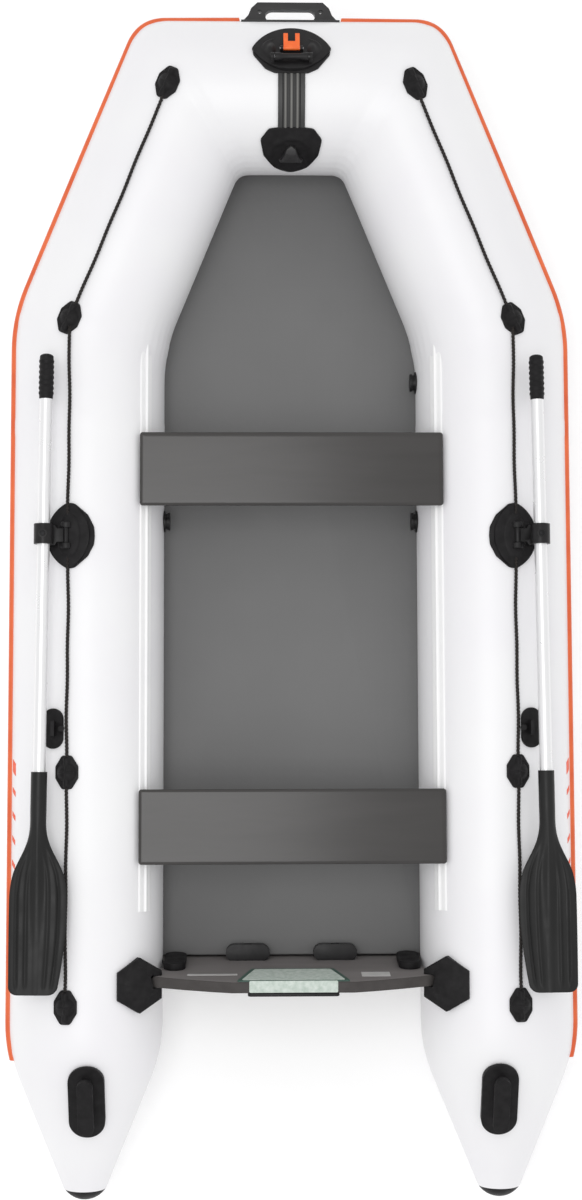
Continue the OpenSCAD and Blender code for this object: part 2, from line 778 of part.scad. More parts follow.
// ---- Handles ----
module bow_handle() {
    plate_z = bow_mid.z + 26;
    thick = 24;
    black_part() difference() {
        union() {
            translate([0, aft(0), plate_z]) linear_extrude(thick) polygon([
                [-140, -40], [140, -40], [138, -14], [118, 8], [110, 28], [92, handle_reach],
                [-92, handle_reach], [-110, 28], [-118, 8], [-138, -14]]);
            intersection() {
                translate(bow_mid) rotate([0, 90, 0]) cylinder(r = tube_r + 6, h = 276, center = true);
                translate([-200, aft(30), plate_z]) cube([400, 60, 62]);
            }
        }
        translate(bow_mid) rotate([0, 90, 0]) cylinder(r = tube_r + gap, h = big, center = true);
        translate([0, aft(0), plate_z - 1]) linear_extrude(thick + 2) translate([0, 6]) slot_shape(140, 38);
        for (s = [-1, 1]) translate([s * 86, aft(0) + 18, plate_z - 1]) cylinder(r = 5.5, h = thick + 2);
    }
}

// Carry handles on the stern cones, each a pad with a raised bar
module stern_handles() {
    foot_at = 60;
    rise = 35;           // height of the grip's underside above the cone
    black_part() both_sides() difference() {
        on_cone(108) union() {
            translate([0, 0, -24]) linear_extrude(32) slot_shape_y(214, 97);
            for (s = [-1, 1]) translate([0, 6 + s * foot_at, 0]) cylinder(r = 13, h = rise + 7);
            translate([0, 6, rise]) linear_extrude(14) slot_shape_y(164, 42);
        }
        stern_bar(gap);
        side_skin_near_stern();
    }
}

module side_skin_near_stern() {
    translate([tube_x, aft(cone_start) + 300, tube_r]) rotate([90, 0, 0])
        cylinder(r = tube_r + gap, h = 300);
}

// Near the cone's upper line, that far behind its start: +Z out of the skin
module on_cone(distance) {
    translate([tube_x - 16, aft(cone_start + distance),
               2 * tube_r - distance * tan(cone_slope)]) rotate([cone_slope, 0, 0]) children();
}

// ---- Air valves ----
module floor_valve_place() { translate([floor_valve_x, aft(rear_thwart_at), floor_top]) children(); }

module valve_body() {
    difference() {
        union() {
            translate([0, 0, gap]) cylinder(r = valve_flange_r, h = 4);
            translate([0, 0, -14]) cylinder(r = valve_r, h = 14 + valve_h - 2);
            for (s = [-1, 1]) translate([cap_hinge_x, s * ear_y, 0]) {
                translate([-ear_r, -ear_t / 2, 2]) cube([2 * ear_r, ear_t, cap_hinge_z - 2]);
                translate([0, 0, cap_hinge_z]) rotate([90, 0, 0])
                    cylinder(r = ear_r, h = ear_t, center = true);
            }
        }
        translate([0, 0, -9]) cylinder(r = valve_r - 5, h = 40);
        translate([0, 0, -20]) cylinder(r = plunger_r - 2, h = 40);
        for (k = [0 : 3]) rotate(k * 90) translate([12, 0, -20]) cylinder(r = 2.5, h = 30);
        translate([cap_hinge_x, 0, cap_hinge_z]) rotate([90, 0, 0])
            cylinder(r = cap_pin_r + run_fit, h = 40, center = true);
    }
}

// A flat cap with a hinge barrel at its lower edge, whose ends turn in the body's ears, and
// a finger tab opposite
module valve_cap() {
    low = valve_h - 2 + gap;
    translate([0, 0, low]) cylinder(r = cap_r, h = cap_t);
    translate([cap_r - 3, -5, low]) cube([cap_hinge_x - cap_r + 3, 10, 4]);
    translate([-cap_r - 7, -5, low + 1]) cube([10, 10, 3]);
    translate([cap_hinge_x, 0, cap_hinge_z]) rotate([90, 0, 0]) {
        cylinder(r = 2.5, h = 11, center = true);
        cylinder(r = cap_pin_r, h = 2 * ear_y + ear_t, center = true);
    }
}

module valve_plunger() {
    union() {
        translate([0, 0, -13]) cylinder(r = plunger_r - 2 - run_fit, h = 10);
        translate([0, 0, -3]) cylinder(r = plunger_r, h = 8);
    }
}

// Valve frames: +Z points into the cockpit from the skin, +X points down
module valve_frame(side, at) {
    mirror([side < 0 ? 1 : 0, 0, 0]) on_side(at, -90) rotate(180) children();
}

module valve_bodies() {
    black_part() {
        valve_frame(-1, valve_side_at) valve_body();
        valve_frame(1, valve_side_at) valve_body();
        valve_frame(1, valve_bow_at) valve_body();
        floor_valve_place() valve_body();
    }
}

bow_tube();
mirrored(true) quarter_tube();  // port_quarter_tube
quarter_tube();  // starboard_quarter_tube
mirrored(true) side_tube([valve_side_at]);  // port_side_tube
side_tube([valve_side_at, valve_bow_at]);  // starboard_side_tube
mirrored(true) stern_cone();  // port_stern_cone
stern_cone();  // starboard_stern_cone
chamber_bulkheads();
cone_caps();
rub_strake();
air_floor();
hull_bottom();
keel_tube();
transom_board();
inner_motor_plate();
outer_motor_plate();
transom_knees();
drain_housings();
drain_plug(-1);  // port_drain_plug
drain_plug(1);  // starboard_drain_plug
seat_rails();
thwart(front_thwart_at);  // front_thwart
thwart(rear_thwart_at);  // rear_thwart
thwart_shoes(front_thwart_at);  // front_thwart_shoes
thwart_shoes(rear_thwart_at);  // rear_thwart_shoes
mirrored(true) oarlock_base();  // port_oarlock_base
oarlock_base();  // starboard_oarlock_base
hinge_pins();
mirrored(true) oarlock_arm();  // port_oarlock_arm
oarlock_arm();  // starboard_oarlock_arm
mirrored(true) oar_collar();  // port_oar_collar
oar_collar();  // starboard_oar_collar
mirrored(true) collar_bolt();  // port_collar_bolt
collar_bolt();  // starboard_collar_bolt
mirrored(true) oar_shaft();  // port_oar_shaft
oar_shaft();  // starboard_oar_shaft
mirrored(true) oar_grip();  // port_oar_grip
oar_grip();  // starboard_oar_grip
mirrored(true) oar_blade();  // port_oar_blade
oar_blade();  // starboard_oar_blade
oar_holders();
rope_pads();
mirrored(true) grab_rope();  // port_grab_rope
grab_rope();  // starboard_grab_rope
bow_handle();
fairlead_base();
fairlead_roller();
rope_latch();
wear_strip();
towing_pad();
stern_handles();
valve_bodies();
black_part() valve_frame(-1, valve_side_at) valve_cap();  // port_valve_cap
black_part() valve_frame(1, valve_side_at) valve_cap();  // starboard_valve_cap
black_part() valve_frame(1, valve_bow_at) valve_cap();  // bow_valve_cap
black_part() floor_valve_place() valve_cap();  // floor_valve_cap
black_part() valve_frame(-1, valve_side_at) valve_plunger();  // port_valve_plunger
black_part() valve_frame(1, valve_side_at) valve_plunger();  // starboard_valve_plunger
black_part() valve_frame(1, valve_bow_at) valve_plunger();  // bow_valve_plunger
black_part() floor_valve_place() valve_plunger();  // floor_valve_plunger
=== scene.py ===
# %% [markdown]
# # An inflatable dinghy
# A sports dinghy is three kinds of thing at once: tight coated fabric (tubes, floor and
# bottom), painted board (transom and thwarts) and moulded fittings (pads, locks, handles).
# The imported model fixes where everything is. This notebook gives each piece its real
# surface and finish. Everything is in metres, +X to starboard, +Y to the bow, +Z up.

# %% Load the frame
import math

import bpy
import numpy as np
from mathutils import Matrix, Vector


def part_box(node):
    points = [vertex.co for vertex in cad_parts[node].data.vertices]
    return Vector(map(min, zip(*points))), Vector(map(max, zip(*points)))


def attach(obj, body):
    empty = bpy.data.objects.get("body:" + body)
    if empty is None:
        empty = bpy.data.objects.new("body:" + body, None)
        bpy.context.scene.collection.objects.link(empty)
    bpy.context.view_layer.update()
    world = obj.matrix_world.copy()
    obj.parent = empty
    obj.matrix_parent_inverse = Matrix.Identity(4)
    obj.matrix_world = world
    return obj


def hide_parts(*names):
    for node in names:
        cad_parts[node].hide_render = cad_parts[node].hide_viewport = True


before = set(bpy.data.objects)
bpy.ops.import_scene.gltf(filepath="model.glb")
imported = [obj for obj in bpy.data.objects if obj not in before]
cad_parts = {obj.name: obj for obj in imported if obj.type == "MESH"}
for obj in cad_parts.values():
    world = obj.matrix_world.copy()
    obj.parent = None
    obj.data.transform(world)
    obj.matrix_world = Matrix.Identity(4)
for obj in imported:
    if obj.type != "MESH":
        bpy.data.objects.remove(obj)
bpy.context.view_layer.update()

MM = 0.001
SIDES = (("port", True), ("starboard", False))  # a side, and if it is mirrored

# %% [markdown]
# ## Camera
# The boat is seen from high above its cockpit, bow up, with a normal lens. The camera
# stands a little towards the stern and to port of the middle and leans forward a few
# degrees, so the stern comes out slightly larger than the bow.

# %% Camera
CAMERA_AT = Vector((-0.1154, -0.4426, 5.410))
LEAN_FORWARD = math.radians(4.648)
LEAN_RIGHT = math.radians(1.263)
TURN = math.radians(0.165)
camera_data = bpy.data.cameras.new("camera")
camera_data.sensor_fit = "VERTICAL"
camera_data.sensor_height = 36
camera_data.lens = 55.62
camera = bpy.data.objects.new("camera", camera_data)
bpy.context.scene.collection.objects.link(camera)
bpy.context.scene.camera = camera
camera.location = CAMERA_AT
camera.rotation_euler = (LEAN_FORWARD, -LEAN_RIGHT, -TURN)
print("camera stands", round(CAMERA_AT.z, 2), "m above the floor")

# %% [markdown]
# ## Measuring the frame
# The tubes are straight cylinders that meet on mitre planes. Their radius and place come
# from the side tube's box. The corners of the centreline are the bow corner and the
# shoulder, where a quarter tube runs between bow tube and side tube.

# %% Hull lines
def box_corners(name):
    """The lowest and the highest corner of a node's box, as arrays."""
    return tuple(np.array(c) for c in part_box(name))


side_low, side_high = box_corners("starboard_side_tube")
bow_high = box_corners("bow_tube")[1]
TUBE_R = (side_high[2] - side_low[2]) / 2
TUBE_X = (side_high[0] + side_low[0]) / 2
TIP_R = 57 * MM
BOW_HALF = 285 * MM
BOW_Y = bow_high[1] - TUBE_R
BOW_Z = bow_high[2] - TUBE_R
BOW_FACE = bow_high[1] + 8 * MM
SHOULDER_Y = BOW_FACE - 885 * MM
STERN_Y = side_low[1]
TIP_Y = box_corners("starboard_stern_cone")[0][1]


def unit(v):
    """A vector divided by its length, for one vector or for rows of them."""
    v = np.asarray(v, float)
    return v / np.linalg.norm(v, axis=-1, keepdims=True)


BOW_CORNER = np.array([BOW_HALF, BOW_Y, BOW_Z])
SHOULDER = np.array([TUBE_X, SHOULDER_Y, TUBE_R])
QUARTER_WAY = unit(SHOULDER - BOW_CORNER)
SHOULDER_MITRE = unit(QUARTER_WAY + [0, -1, 0])
BOW_MITRE = unit(QUARTER_WAY + [1, 0, 0])
print("tube radius", round(TUBE_R, 4), "beam", round(2 * (TUBE_X + TUBE_R), 3))


def aft(distance):
    """The Y of a place that many metres behind the bow face."""
    return BOW_FACE - distance


# %% [markdown]
# ## Putting arrays into meshes
# Nearly every new piece is a grid of rings: a closed outline carried along a path, or
# shrunk towards the middle of a pad. One function turns such an array into a closed mesh
# with a pole at each end, and turns its faces outwards by the sign of its volume.

# %% Rings to mesh
def ring_faces(n, m):
    """Quads between n rings of m points, and a fan from each end ring to its own pole."""
    i = np.arange(n - 1)[:, None] * m
    j = np.arange(m)[None, :]
    k = (j + 1) % m
    quads = np.stack([i + j, i + k, i + m + k, i + m + j], -1).reshape(-1, 4)
    first, last = n * m, n * m + 1
    base = (n - 1) * m
    start = np.stack([np.full(m, first), (j + 1)[0] % m, j[0]], -1)
    end = np.stack([np.full(m, last), base + j[0], base + (j[0] + 1) % m], -1)
    return quads, np.concatenate([start, end])


def inside_out(verts, quads, tris):
    """True if the signed volume, summed over the triangles of the faces, is negative."""
    corners = np.concatenate([tris, quads[:, :3], quads[:, [0, 2, 3]]])
    a, b, c = (verts[corners[:, q]] for q in range(3))
    return np.einsum("ij,ij->i", a, np.cross(b, c)).sum() < 0


def surface(name, rings, finish, body="hull", stands_for=(), port=False, sharp=40, uv=None):
    """A closed piece from rings (n, m, 3). port mirrors it across the boat's middle."""
    rings = np.asarray(rings, float)
    n, m = rings.shape[:2]
    verts = np.concatenate([rings.reshape(-1, 3), [rings[0].mean(0), rings[-1].mean(0)]])
    if port:
        verts = verts * [-1, 1, 1]
    quads, tris = ring_faces(n, m)
    if inside_out(verts, quads, tris):
        quads, tris = quads[:, ::-1], tris[:, ::-1]
    mesh = bpy.data.meshes.new(name)
    mesh.from_pydata(verts.tolist(), [], quads.tolist() + tris.tolist())
    if uv is not None:
        flat = np.concatenate([uv.reshape(-1, 2), [uv[0].mean(0), uv[-1].mean(0)]])
        loops = np.zeros(len(mesh.loops), int)
        mesh.loops.foreach_get("vertex_index", loops)
        mesh.uv_layers.new(name="length").data.foreach_set("uv", flat[loops].reshape(-1))
    return finished(name, mesh, finish, body, stands_for, sharp)


def finished(name, mesh, finish, body="hull", stands_for=(), sharp=40):
    """Shade a mesh smooth up to an angle, give it its finish and let it ride on its body."""
    mesh.polygons.foreach_set("use_smooth", [True] * len(mesh.polygons))
    mesh.set_sharp_from_angle(angle=math.radians(sharp))
    mesh.materials.append(finish)
    piece = bpy.data.objects.new(name, mesh)
    bpy.context.scene.collection.objects.link(piece)
    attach(piece, body)
    if stands_for:
        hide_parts(*stands_for)
    return piece


# %% [markdown]
# ## Finishes
# Each finish starts from the real material and how its surface was made. Colours are
# sRGB hex values, turned to linear by one function. One helper adds a node with its
# settings and links.

# %% Material helpers
def linear(hex_colour):
    """sRGB hex to linear RGBA: c/12.92 below 0.04045, else ((c+0.055)/1.055)^2.4."""
    c = np.array([int(hex_colour[i : i + 2], 16) for i in (1, 3, 5)]) / 255
    c = np.where(c <= 0.04045, c / 12.92, ((c + 0.055) / 1.055) ** 2.4)
    return (*c.tolist(), 1.0)


def add(material, kind, settings=(), links=()):
    """Add a node: settings go to its inputs or properties, links join sockets to inputs."""
    node = material.node_tree.nodes.new(kind)
    for key, value in dict(settings).items():
        if isinstance(key, int) or key in node.inputs:
            node.inputs[key].default_value = value
        else:
            setattr(node, key, value)
    for key, socket in dict(links).items():
        material.node_tree.links.new(socket, node.inputs[key])
    return node


def start(name, slot, colour, **sockets):
    """A material with one Principled shader, its constant sockets set on the shader."""
    material = bpy.data.materials.new(name)
    material.use_nodes = True
    material["slot"] = slot
    shader = material.node_tree.nodes["Principled BSDF"]
    shader.inputs["Base Color"].default_value = linear(colour)
    for key, value in sockets.items():
        shader.inputs[key.replace("_", " ")].default_value = value
    return material, shader


def mottled(material, shader, low, high, size, stretch=(1, 1, 1)):
    """Colour that drifts between two shades, in patches of the given size in metres."""
    place = add(material, "ShaderNodeTexCoord").outputs["Object"]
    turned = add(material, "ShaderNodeMapping", {"Scale": stretch}, {"Vector": place})
    noise = add(material, "ShaderNodeTexNoise", {"Scale": 1 / size, "Detail": 3},
                {"Vector": turned.outputs[0]})
    ramp = add(material, "ShaderNodeValToRGB", (), {"Fac": noise.outputs["Fac"]})
    ramp.color_ramp.elements[0].position, ramp.color_ramp.elements[1].position = 0.3, 0.7
    ramp.color_ramp.elements[0].color = linear(low)
    ramp.color_ramp.elements[1].color = linear(high)
    material.node_tree.links.new(ramp.outputs["Color"], shader.inputs["Base Color"])


def uneven_gloss(material, shader, low, high, size):
    """Roughness that varies between two values, as handling and moulding leave it."""
    place = add(material, "ShaderNodeTexCoord").outputs["Object"]
    noise = add(material, "ShaderNodeTexNoise", {"Scale": 1 / size, "Detail": 4},
                {"Vector": place})
    span = add(material, "ShaderNodeMapRange",
               {"From Min": 0.3, "From Max": 0.7, "To Min": low, "To Max": high},
               {"Value": noise.outputs["Fac"]})
    material.node_tree.links.new(span.outputs["Result"], shader.inputs["Roughness"])


def bumped(material, shader, pattern, height, strength):
    """Raise a pattern by a height in metres."""
    bump = add(material, "ShaderNodeBump", {"Distance": height, "Strength": strength},
               {"Height": pattern})
    material.node_tree.links.new(bump.outputs["Normal"], shader.inputs["Normal"])


def grain(material, shader, size, height, strength=0.6, kind="noise", stretch=(1, 1, 1)):
    """A fine relief: cells for pebbled mouldings, noise for paint and film."""
    place = add(material, "ShaderNodeTexCoord").outputs["Object"]
    turned = add(material, "ShaderNodeMapping", {"Scale": stretch}, {"Vector": place})
    if kind == "cells":
        cells = add(material, "ShaderNodeTexVoronoi", {"Scale": 1 / size},
                    {"Vector": turned.outputs[0]})
        pattern = cells.outputs["Distance"]
    else:
        noise = add(material, "ShaderNodeTexNoise", {"Scale": 1 / size, "Detail": 3},
                    {"Vector": turned.outputs[0]})
        pattern = noise.outputs["Fac"]
    bumped(material, shader, pattern, height, strength)


def weave(material, shader, thread, height, strength=0.5):
    """The cloth showing through its coating: two crossed sine waves, whose bands are
    2 pi times thread apart."""
    place = add(material, "ShaderNodeTexCoord").outputs["Object"]
    waves = []
    for direction in ("X", "Y"):
        wave = add(material, "ShaderNodeTexWave",
                   {"Scale": 1 / (thread * 20), "bands_direction": direction},
                   {"Vector": place})
        waves.append(wave.outputs["Fac"])
    both = add(material, "ShaderNodeMath", {"operation": "MULTIPLY"}, {0: waves[0], 1: waves[1]})
    bumped(material, shader, both.outputs[0], height, strength)


def make_finish(name, slot, colour, drift=(), gloss=(), relief=(), threads=(), **sockets):
    """A shader with its sockets, then the drift of colour, gloss and relief that it has."""
    material, shader = start(name, slot, colour, **sockets)
    for apply, values in ((mottled, drift), (uneven_gloss, gloss), (grain, relief),
                          (weave, threads)):
        if values:
            apply(material, shader, *values)
    return material


# %% [markdown]
# ### Coated fabric
# Tubes and rails are PVC-coated polyester: calendered, so smooth and softly glossy, with
# the cloth inside showing only as a very faint unevenness. The floor and the bottom are a
# matter, darker grade. The threads are about 1 mm apart, too fine to show, so the floor
# has a much coarser unevenness instead, with 25 mm between its bands.

# %% Fabric finishes
white_pvc = make_finish("white_coated_pvc", "hull_pvc", "#F1F0F2",
                        ("#F0EFF2", "#F4F4F5", 350 * MM), relief=(12 * MM, 0.4 * MM, 0.35),
                        Roughness=0.42, IOR=1.54, Coat_Weight=0.15, Coat_Roughness=0.25)
rail_pvc = make_finish("white_rail_pvc", "rail_pvc", "#F8F8F9", ("#F6F6F7", "#FAFAFA", 120 * MM),
                       relief=(4 * MM, 0.2 * MM, 0.3), Roughness=0.35, IOR=1.54)
floor_pvc = make_finish("grey_drop_stitch_pvc", "floor_pvc", "#6D6D6D",
                        ("#696969", "#707070", 500 * MM), threads=(4 * MM, 0.4 * MM, 0.4),
                        Roughness=0.62, IOR=1.54)
bottom_pvc = make_finish("grey_bottom_pvc", "bottom_pvc", "#6A6B6E",
                         ("#626367", "#707174", 300 * MM), threads=(4 * MM, 0.4 * MM, 0.4),
                         Roughness=0.55, IOR=1.54)
orange_pvc = make_finish("orange_strake_pvc", "orange_strake", "#E4622C",
                         ("#DC5A26", "#EA6C36", 80 * MM), relief=(3 * MM, 0.3 * MM, 0.4),
                         Roughness=0.38, IOR=1.54)
baffle = make_finish("baffle_cloth", "baffle_fabric", "#D0D0D0", threads=(4 * MM, 0.3 * MM),
                     Roughness=0.8)
print("fabric finishes made")

# %% [markdown]
# ### Board, rubber, plastic and metal
# The boards are marine ply whose grain telegraphs through: the thwarts under a dark
# varnish, the transom under grey-brown satin paint. Pads and handles are moulded rubber
# with a pebbled skin about 1.2 mm across, drawn at 2.5 mm so that it shows. Locks and
# valves are glass-filled nylon, smoother, with a soft sheen on their edges.

# %% Hard finishes
ALONG_GRAIN = (0.12, 1, 1)
varnished_ply = make_finish("varnished_plywood", "painted_plywood", "#363433",
                            ("#343231", "#3A3837", 50 * MM, (0.15, 1, 1)),
                            relief=(4 * MM, 0.1 * MM, 0.2, "noise", ALONG_GRAIN),
                            Roughness=0.5, Specular_IOR_Level=0.0, Coat_Weight=1.0,
                            Coat_Roughness=0.2)
transom_paint = make_finish("painted_plywood", "painted_plywood", "#7D7978",
                            ("#797574", "#817D7C", 50 * MM, (0.15, 1, 1)),
                            relief=(4 * MM, 0.3 * MM, 0.35, "noise", ALONG_GRAIN),
                            Roughness=0.5, Specular_IOR_Level=0.1)
edge_sealer = make_finish("edge_sealer", "painted_plywood", "#4A4746",
                          ("#474443", "#4E4B4A", 30 * MM), relief=(4 * MM, 0.3 * MM, 0.35),
                          Roughness=0.5, Specular_IOR_Level=0.1)
black_rubber = make_finish("moulded_black_rubber", "black_rubber", "#1C1B1C",
                           ("#181718", "#222122", 20 * MM), (0.42, 0.6, 30 * MM),
                           (2.5 * MM, 0.4 * MM, 0.5, "cells"), IOR=1.52,
                           Specular_IOR_Level=0.15)
black_nylon = make_finish("glass_filled_nylon", "black_plastic", "#1B1A1B",
                          ("#171617", "#212021", 25 * MM), (0.3, 0.48, 40 * MM),
                          (1.5 * MM, 0.2 * MM, 0.4), IOR=1.53, Specular_IOR_Level=0.25)
blade_plastic = make_finish("blade_polypropylene", "black_plastic", "#1A1A1A",
                            ("#171717", "#1F1F1F", 60 * MM, (1, 0.3, 1)),
                            (0.34, 0.5, 50 * MM), (2 * MM, 0.3 * MM, 0.4), IOR=1.49,
                            Specular_IOR_Level=0.3)
# This paler grey rubber also serves the towing boss as a painted highlight on its relief.
grey_rubber_and_boss_highlight = make_finish("grey_black_rubber_and_painted_boss_highlight", "black_rubber", "#2A292A",
                            ("#272627", "#2E2D2E", 20 * MM),
                            relief=(2.5 * MM, 0.4 * MM, 0.5, "cells"), Roughness=0.45, IOR=1.52)
orange_nylon = make_finish("orange_nylon", "orange_plastic", "#FA6C24",
                           ("#F4641E", "#FF762C", 20 * MM), relief=(1.5 * MM, 0.2 * MM, 0.3),
                           Roughness=0.35, IOR=1.53)
shaft_metal = make_finish("anodised_aluminium", "oar_aluminium", "#F2F2F3",
                          gloss=(0.26, 0.36, 50 * MM), relief=(2 * MM, 0.05 * MM, 0.15),
                          Metallic=0.55, Roughness=0.3)
steel = make_finish("brushed_stainless", "stainless_steel", "#C9CACC",
                    gloss=(0.22, 0.36, 10 * MM), relief=(1 * MM, 0.1 * MM, 0.3), Metallic=1.0)
blackened = make_finish("blackened_steel", "stainless_steel", "#2C2C2D",
                        relief=(1 * MM, 0.1 * MM, 0.3), Metallic=1.0, Roughness=0.45)
green_plate = make_finish("pale_polyethylene_plate", "green_plate", "#C4CFC6",
                          ("#B4C2B8", "#D2DBD4", 12 * MM),
                          relief=(4 * MM, 0.6 * MM, 0.5, "cells"), Roughness=0.5, IOR=1.51)
mark_film = make_finish("printed_orange_film", "orange_strake", "#F2592F",
                        ("#EE5228", "#F66238", 50 * MM), Roughness=0.4, IOR=1.5)
dark_green = make_finish("dark_green_plate_edge", "green_plate", "#3F5A50",
                         relief=(4 * MM, 0.4 * MM, 0.4, "cells"), Roughness=0.5, IOR=1.51)
label_film = make_finish("blank_label_film", "hull_pvc", "#C9C8C6",
                         ("#C2C1BF", "#D0CFCD", 30 * MM), Roughness=0.3, IOR=1.5)
rope_fibre = make_finish("polypropylene_rope", "rope_fibre", "#151313",
                         ("#0F0D0D", "#332E2B", 3 * MM), relief=(1.2 * MM, 0.4 * MM, 0.6),
                         Roughness=0.65, IOR=1.49, Specular_IOR_Level=0.3)
print("hard finishes made")

# %% [markdown]
# The wear strip's ridges are painted paler: a painted sheen that stands in for the light
# on their crowns. A cosine of the distance across, as long as one flute, is 1 on each crown,
# and a ramp turns it into the two greys. It fades out towards the strip's raised edges.

# %% Painted sheen on the strip
FLUTE = 16.5 * MM
strip_rubber_painted_sheen, _shader = start("strip_rubber_with_painted_sheen", "black_rubber", "#333333", Roughness=0.4,
                              IOR=1.52)
_place = add(strip_rubber_painted_sheen, "ShaderNodeTexCoord").outputs["Object"]
_x = add(strip_rubber_painted_sheen, "ShaderNodeSeparateXYZ", (), {0: _place}).outputs["X"]
_turn = add(strip_rubber_painted_sheen, "ShaderNodeMath", {"operation": "MULTIPLY", 1: 2 * math.pi / FLUTE},
            {0: _x})
_wave = add(strip_rubber_painted_sheen, "ShaderNodeMath", {"operation": "COSINE"}, {0: _turn.outputs[0]})
_near = add(strip_rubber_painted_sheen, "ShaderNodeMath", {"operation": "ABSOLUTE"}, {0: _x})
_inside = add(strip_rubber_painted_sheen, "ShaderNodeMapRange",
              {"From Min": 21 * MM, "From Max": 27 * MM, "To Min": 1.0, "To Max": 0.0},
              {"Value": _near.outputs[0]})
_painted_sheen_level = add(strip_rubber_painted_sheen, "ShaderNodeMath", {"operation": "MULTIPLY"},
             {0: _wave.outputs[0], 1: _inside.outputs["Result"]})
# The ramp's paler grey on each crown is a painted sheen for the light on the ridges.
_sheen_ramp = add(strip_rubber_painted_sheen, "ShaderNodeValToRGB", (), {"Fac": _painted_sheen_level.outputs[0]})
_sheen_ramp.color_ramp.elements[0].color = linear("#2C2C2C")
_sheen_ramp.color_ramp.elements[1].color = linear("#6E6D6A")
strip_rubber_painted_sheen.node_tree.links.new(_sheen_ramp.outputs["Color"], _shader.inputs["Base Color"])
grain(strip_rubber_painted_sheen, _shader, 2.5 * MM, 0.3 * MM, 0.4, kind="cells")
print("strip finish made")

# %% [markdown]
# ## The grab ropes
# A grab rope is three-strand black polypropylene, 9 mm thick. It runs through the four
# pads of one side and under the oarlock, a little outboard of the tube's crown. The pads
# hold it along its whole way, so it is nearly taut, with a slight wander between pads.
# The strands are a three-lobed section that turns once every 30 mm along the route.

# %% Rope route
ROPE_D = 9 * MM
ROPE_ANGLE = math.radians(10.4)
ROPE_RIDE = TUBE_R + ROPE_D / 2 + 0.6 * MM
ROPE_START_Y = aft(0.232)
ROPE_END_Y = aft(2.735)
STRAND_TURN = 30 * MM
ROPE_POINTS = 2400
ROPE_PASSES = 430


def across(way):
    """Unit vectors square to a tube's direction: outboard and level, then upwards."""
    out = unit(np.cross([0, 0, 1.0], way))
    return (out, unit(np.cross(way, out)))


def on_mitre(line_at, way, corner, mitre):
    """Where a line through line_at along way meets the mitre plane at a corner."""
    run = ((corner - line_at) @ mitre) / (way @ mitre)
    return line_at + run[..., None] * way


def stringers(angle, radius):
    """Starboard corner points of lines on the tubes at an angle from the crown: stern,
    shoulder, bow corner and bow middle. Each line keeps its direction along a tube and
    turns on the mitre planes."""
    angle = np.asarray(angle, float)
    radius = np.broadcast_to(radius, angle.shape)[..., None]
    angle = angle[..., None]
    radial = np.sin(angle) * [1.0, 0, 0] + np.cos(angle) * [0, 0, 1.0]
    stern = np.array([TUBE_X, STERN_Y, TUBE_R]) + radius * radial
    shoulder = on_mitre(stern, np.array([0, 1.0, 0]), SHOULDER, SHOULDER_MITRE)
    corner = on_mitre(shoulder, -QUARTER_WAY, BOW_CORNER, BOW_MITRE)
    middle = corner * [0, 1, 1]
    return np.stack([stern, shoulder, corner, middle])


def along_points(points, count):
    """count points evenly spaced along a polyline, by its running length."""
    steps = np.linalg.norm(np.diff(points, axis=0), axis=1)
    run = np.concatenate([[0], np.cumsum(steps)])
    at = np.linspace(0, run[-1], count)
    return np.stack([np.interp(at, run, points[:, k]) for k in range(3)], 1)


def smoothed(points, passes):
    """A line whose inner points move to the mean of their neighbours, several times."""
    for _ in range(passes):
        points[1:-1] = (points[:-2] + 2 * points[1:-1] + points[2:]) / 4
    return points


def rope_route():
    """From inside the bow pad to inside the stern pad of the starboard side."""
    stern, shoulder = stringers(ROPE_ANGLE, ROPE_RIDE)[:2]
    first = shoulder + (ROPE_START_Y - shoulder[1]) / -QUARTER_WAY[1] * -QUARTER_WAY
    last = np.array([stern[0], ROPE_END_Y, stern[2]])
    route = along_points(np.stack([first, shoulder, last]), ROPE_POINTS)
    line = smoothed(route, ROPE_PASSES)
    run = np.linspace(0, 1, len(line))
    wander = 1.3 * MM * np.sin(run * math.pi) * np.sin(run * 29) + 0.8 * MM * np.sin(run * 83)
    line[:, 0] += wander * np.sin(math.pi * np.clip(run * 12, 0, 1) / 2)
    return line


def tube_frame(line):
    """Side and upward unit vectors at each point of a line that runs level."""
    tangent = unit(np.gradient(line, axis=0))
    side = unit(np.cross(tangent, [0, 0, 1.0]))
    return side, np.cross(side, tangent)


def laid_rope(line, sides=18):
    """Rings of a three-strand rope: the radius swells and sinks three times round each
    ring, and the pattern turns with the distance along the route."""
    side, up = tube_frame(line)
    run = np.concatenate([[0], np.cumsum(np.linalg.norm(np.diff(line, axis=0), axis=1))])
    around = np.linspace(0, 2 * math.pi, sides, endpoint=False)[None, :]
    phase = 1.5 * (around - 2 * math.pi * run[:, None] / STRAND_TURN)
    radius = ROPE_D / 2 * (0.54 + 0.56 * np.abs(np.cos(phase)))
    return (line[:, None] + radius[..., None] * (np.cos(around)[..., None] * side[:, None]
            + np.sin(around)[..., None] * up[:, None]))


rope_line = rope_route()
for _side, _port in SIDES:
    rope = surface(f"{_side}_laid_rope", laid_rope(rope_line), rope_fibre, "hull",
                   [f"{_side}_grab_rope"], port=_port, sharp=70)

# %% [markdown]
# ## The hull skin
# The tubes are welded from shaped panels, so the bends are mitres whose outside is only
# slightly rounded. Sweeping one circle round an arc would make the outer corner far too
# wide. Instead every line along the skin is followed on its own: it runs straight along
# each tube and turns on the mitre plane through a short quadratic curve.

# %% Skin lines
ROUND_CONE = 85 * MM
ROUND_SHOULDER = 95 * MM
ROUND_BOW = 80 * MM
ROUND_BOW_INSIDE = 26 * MM
RING_STEP = 14 * MM
AROUND = 144


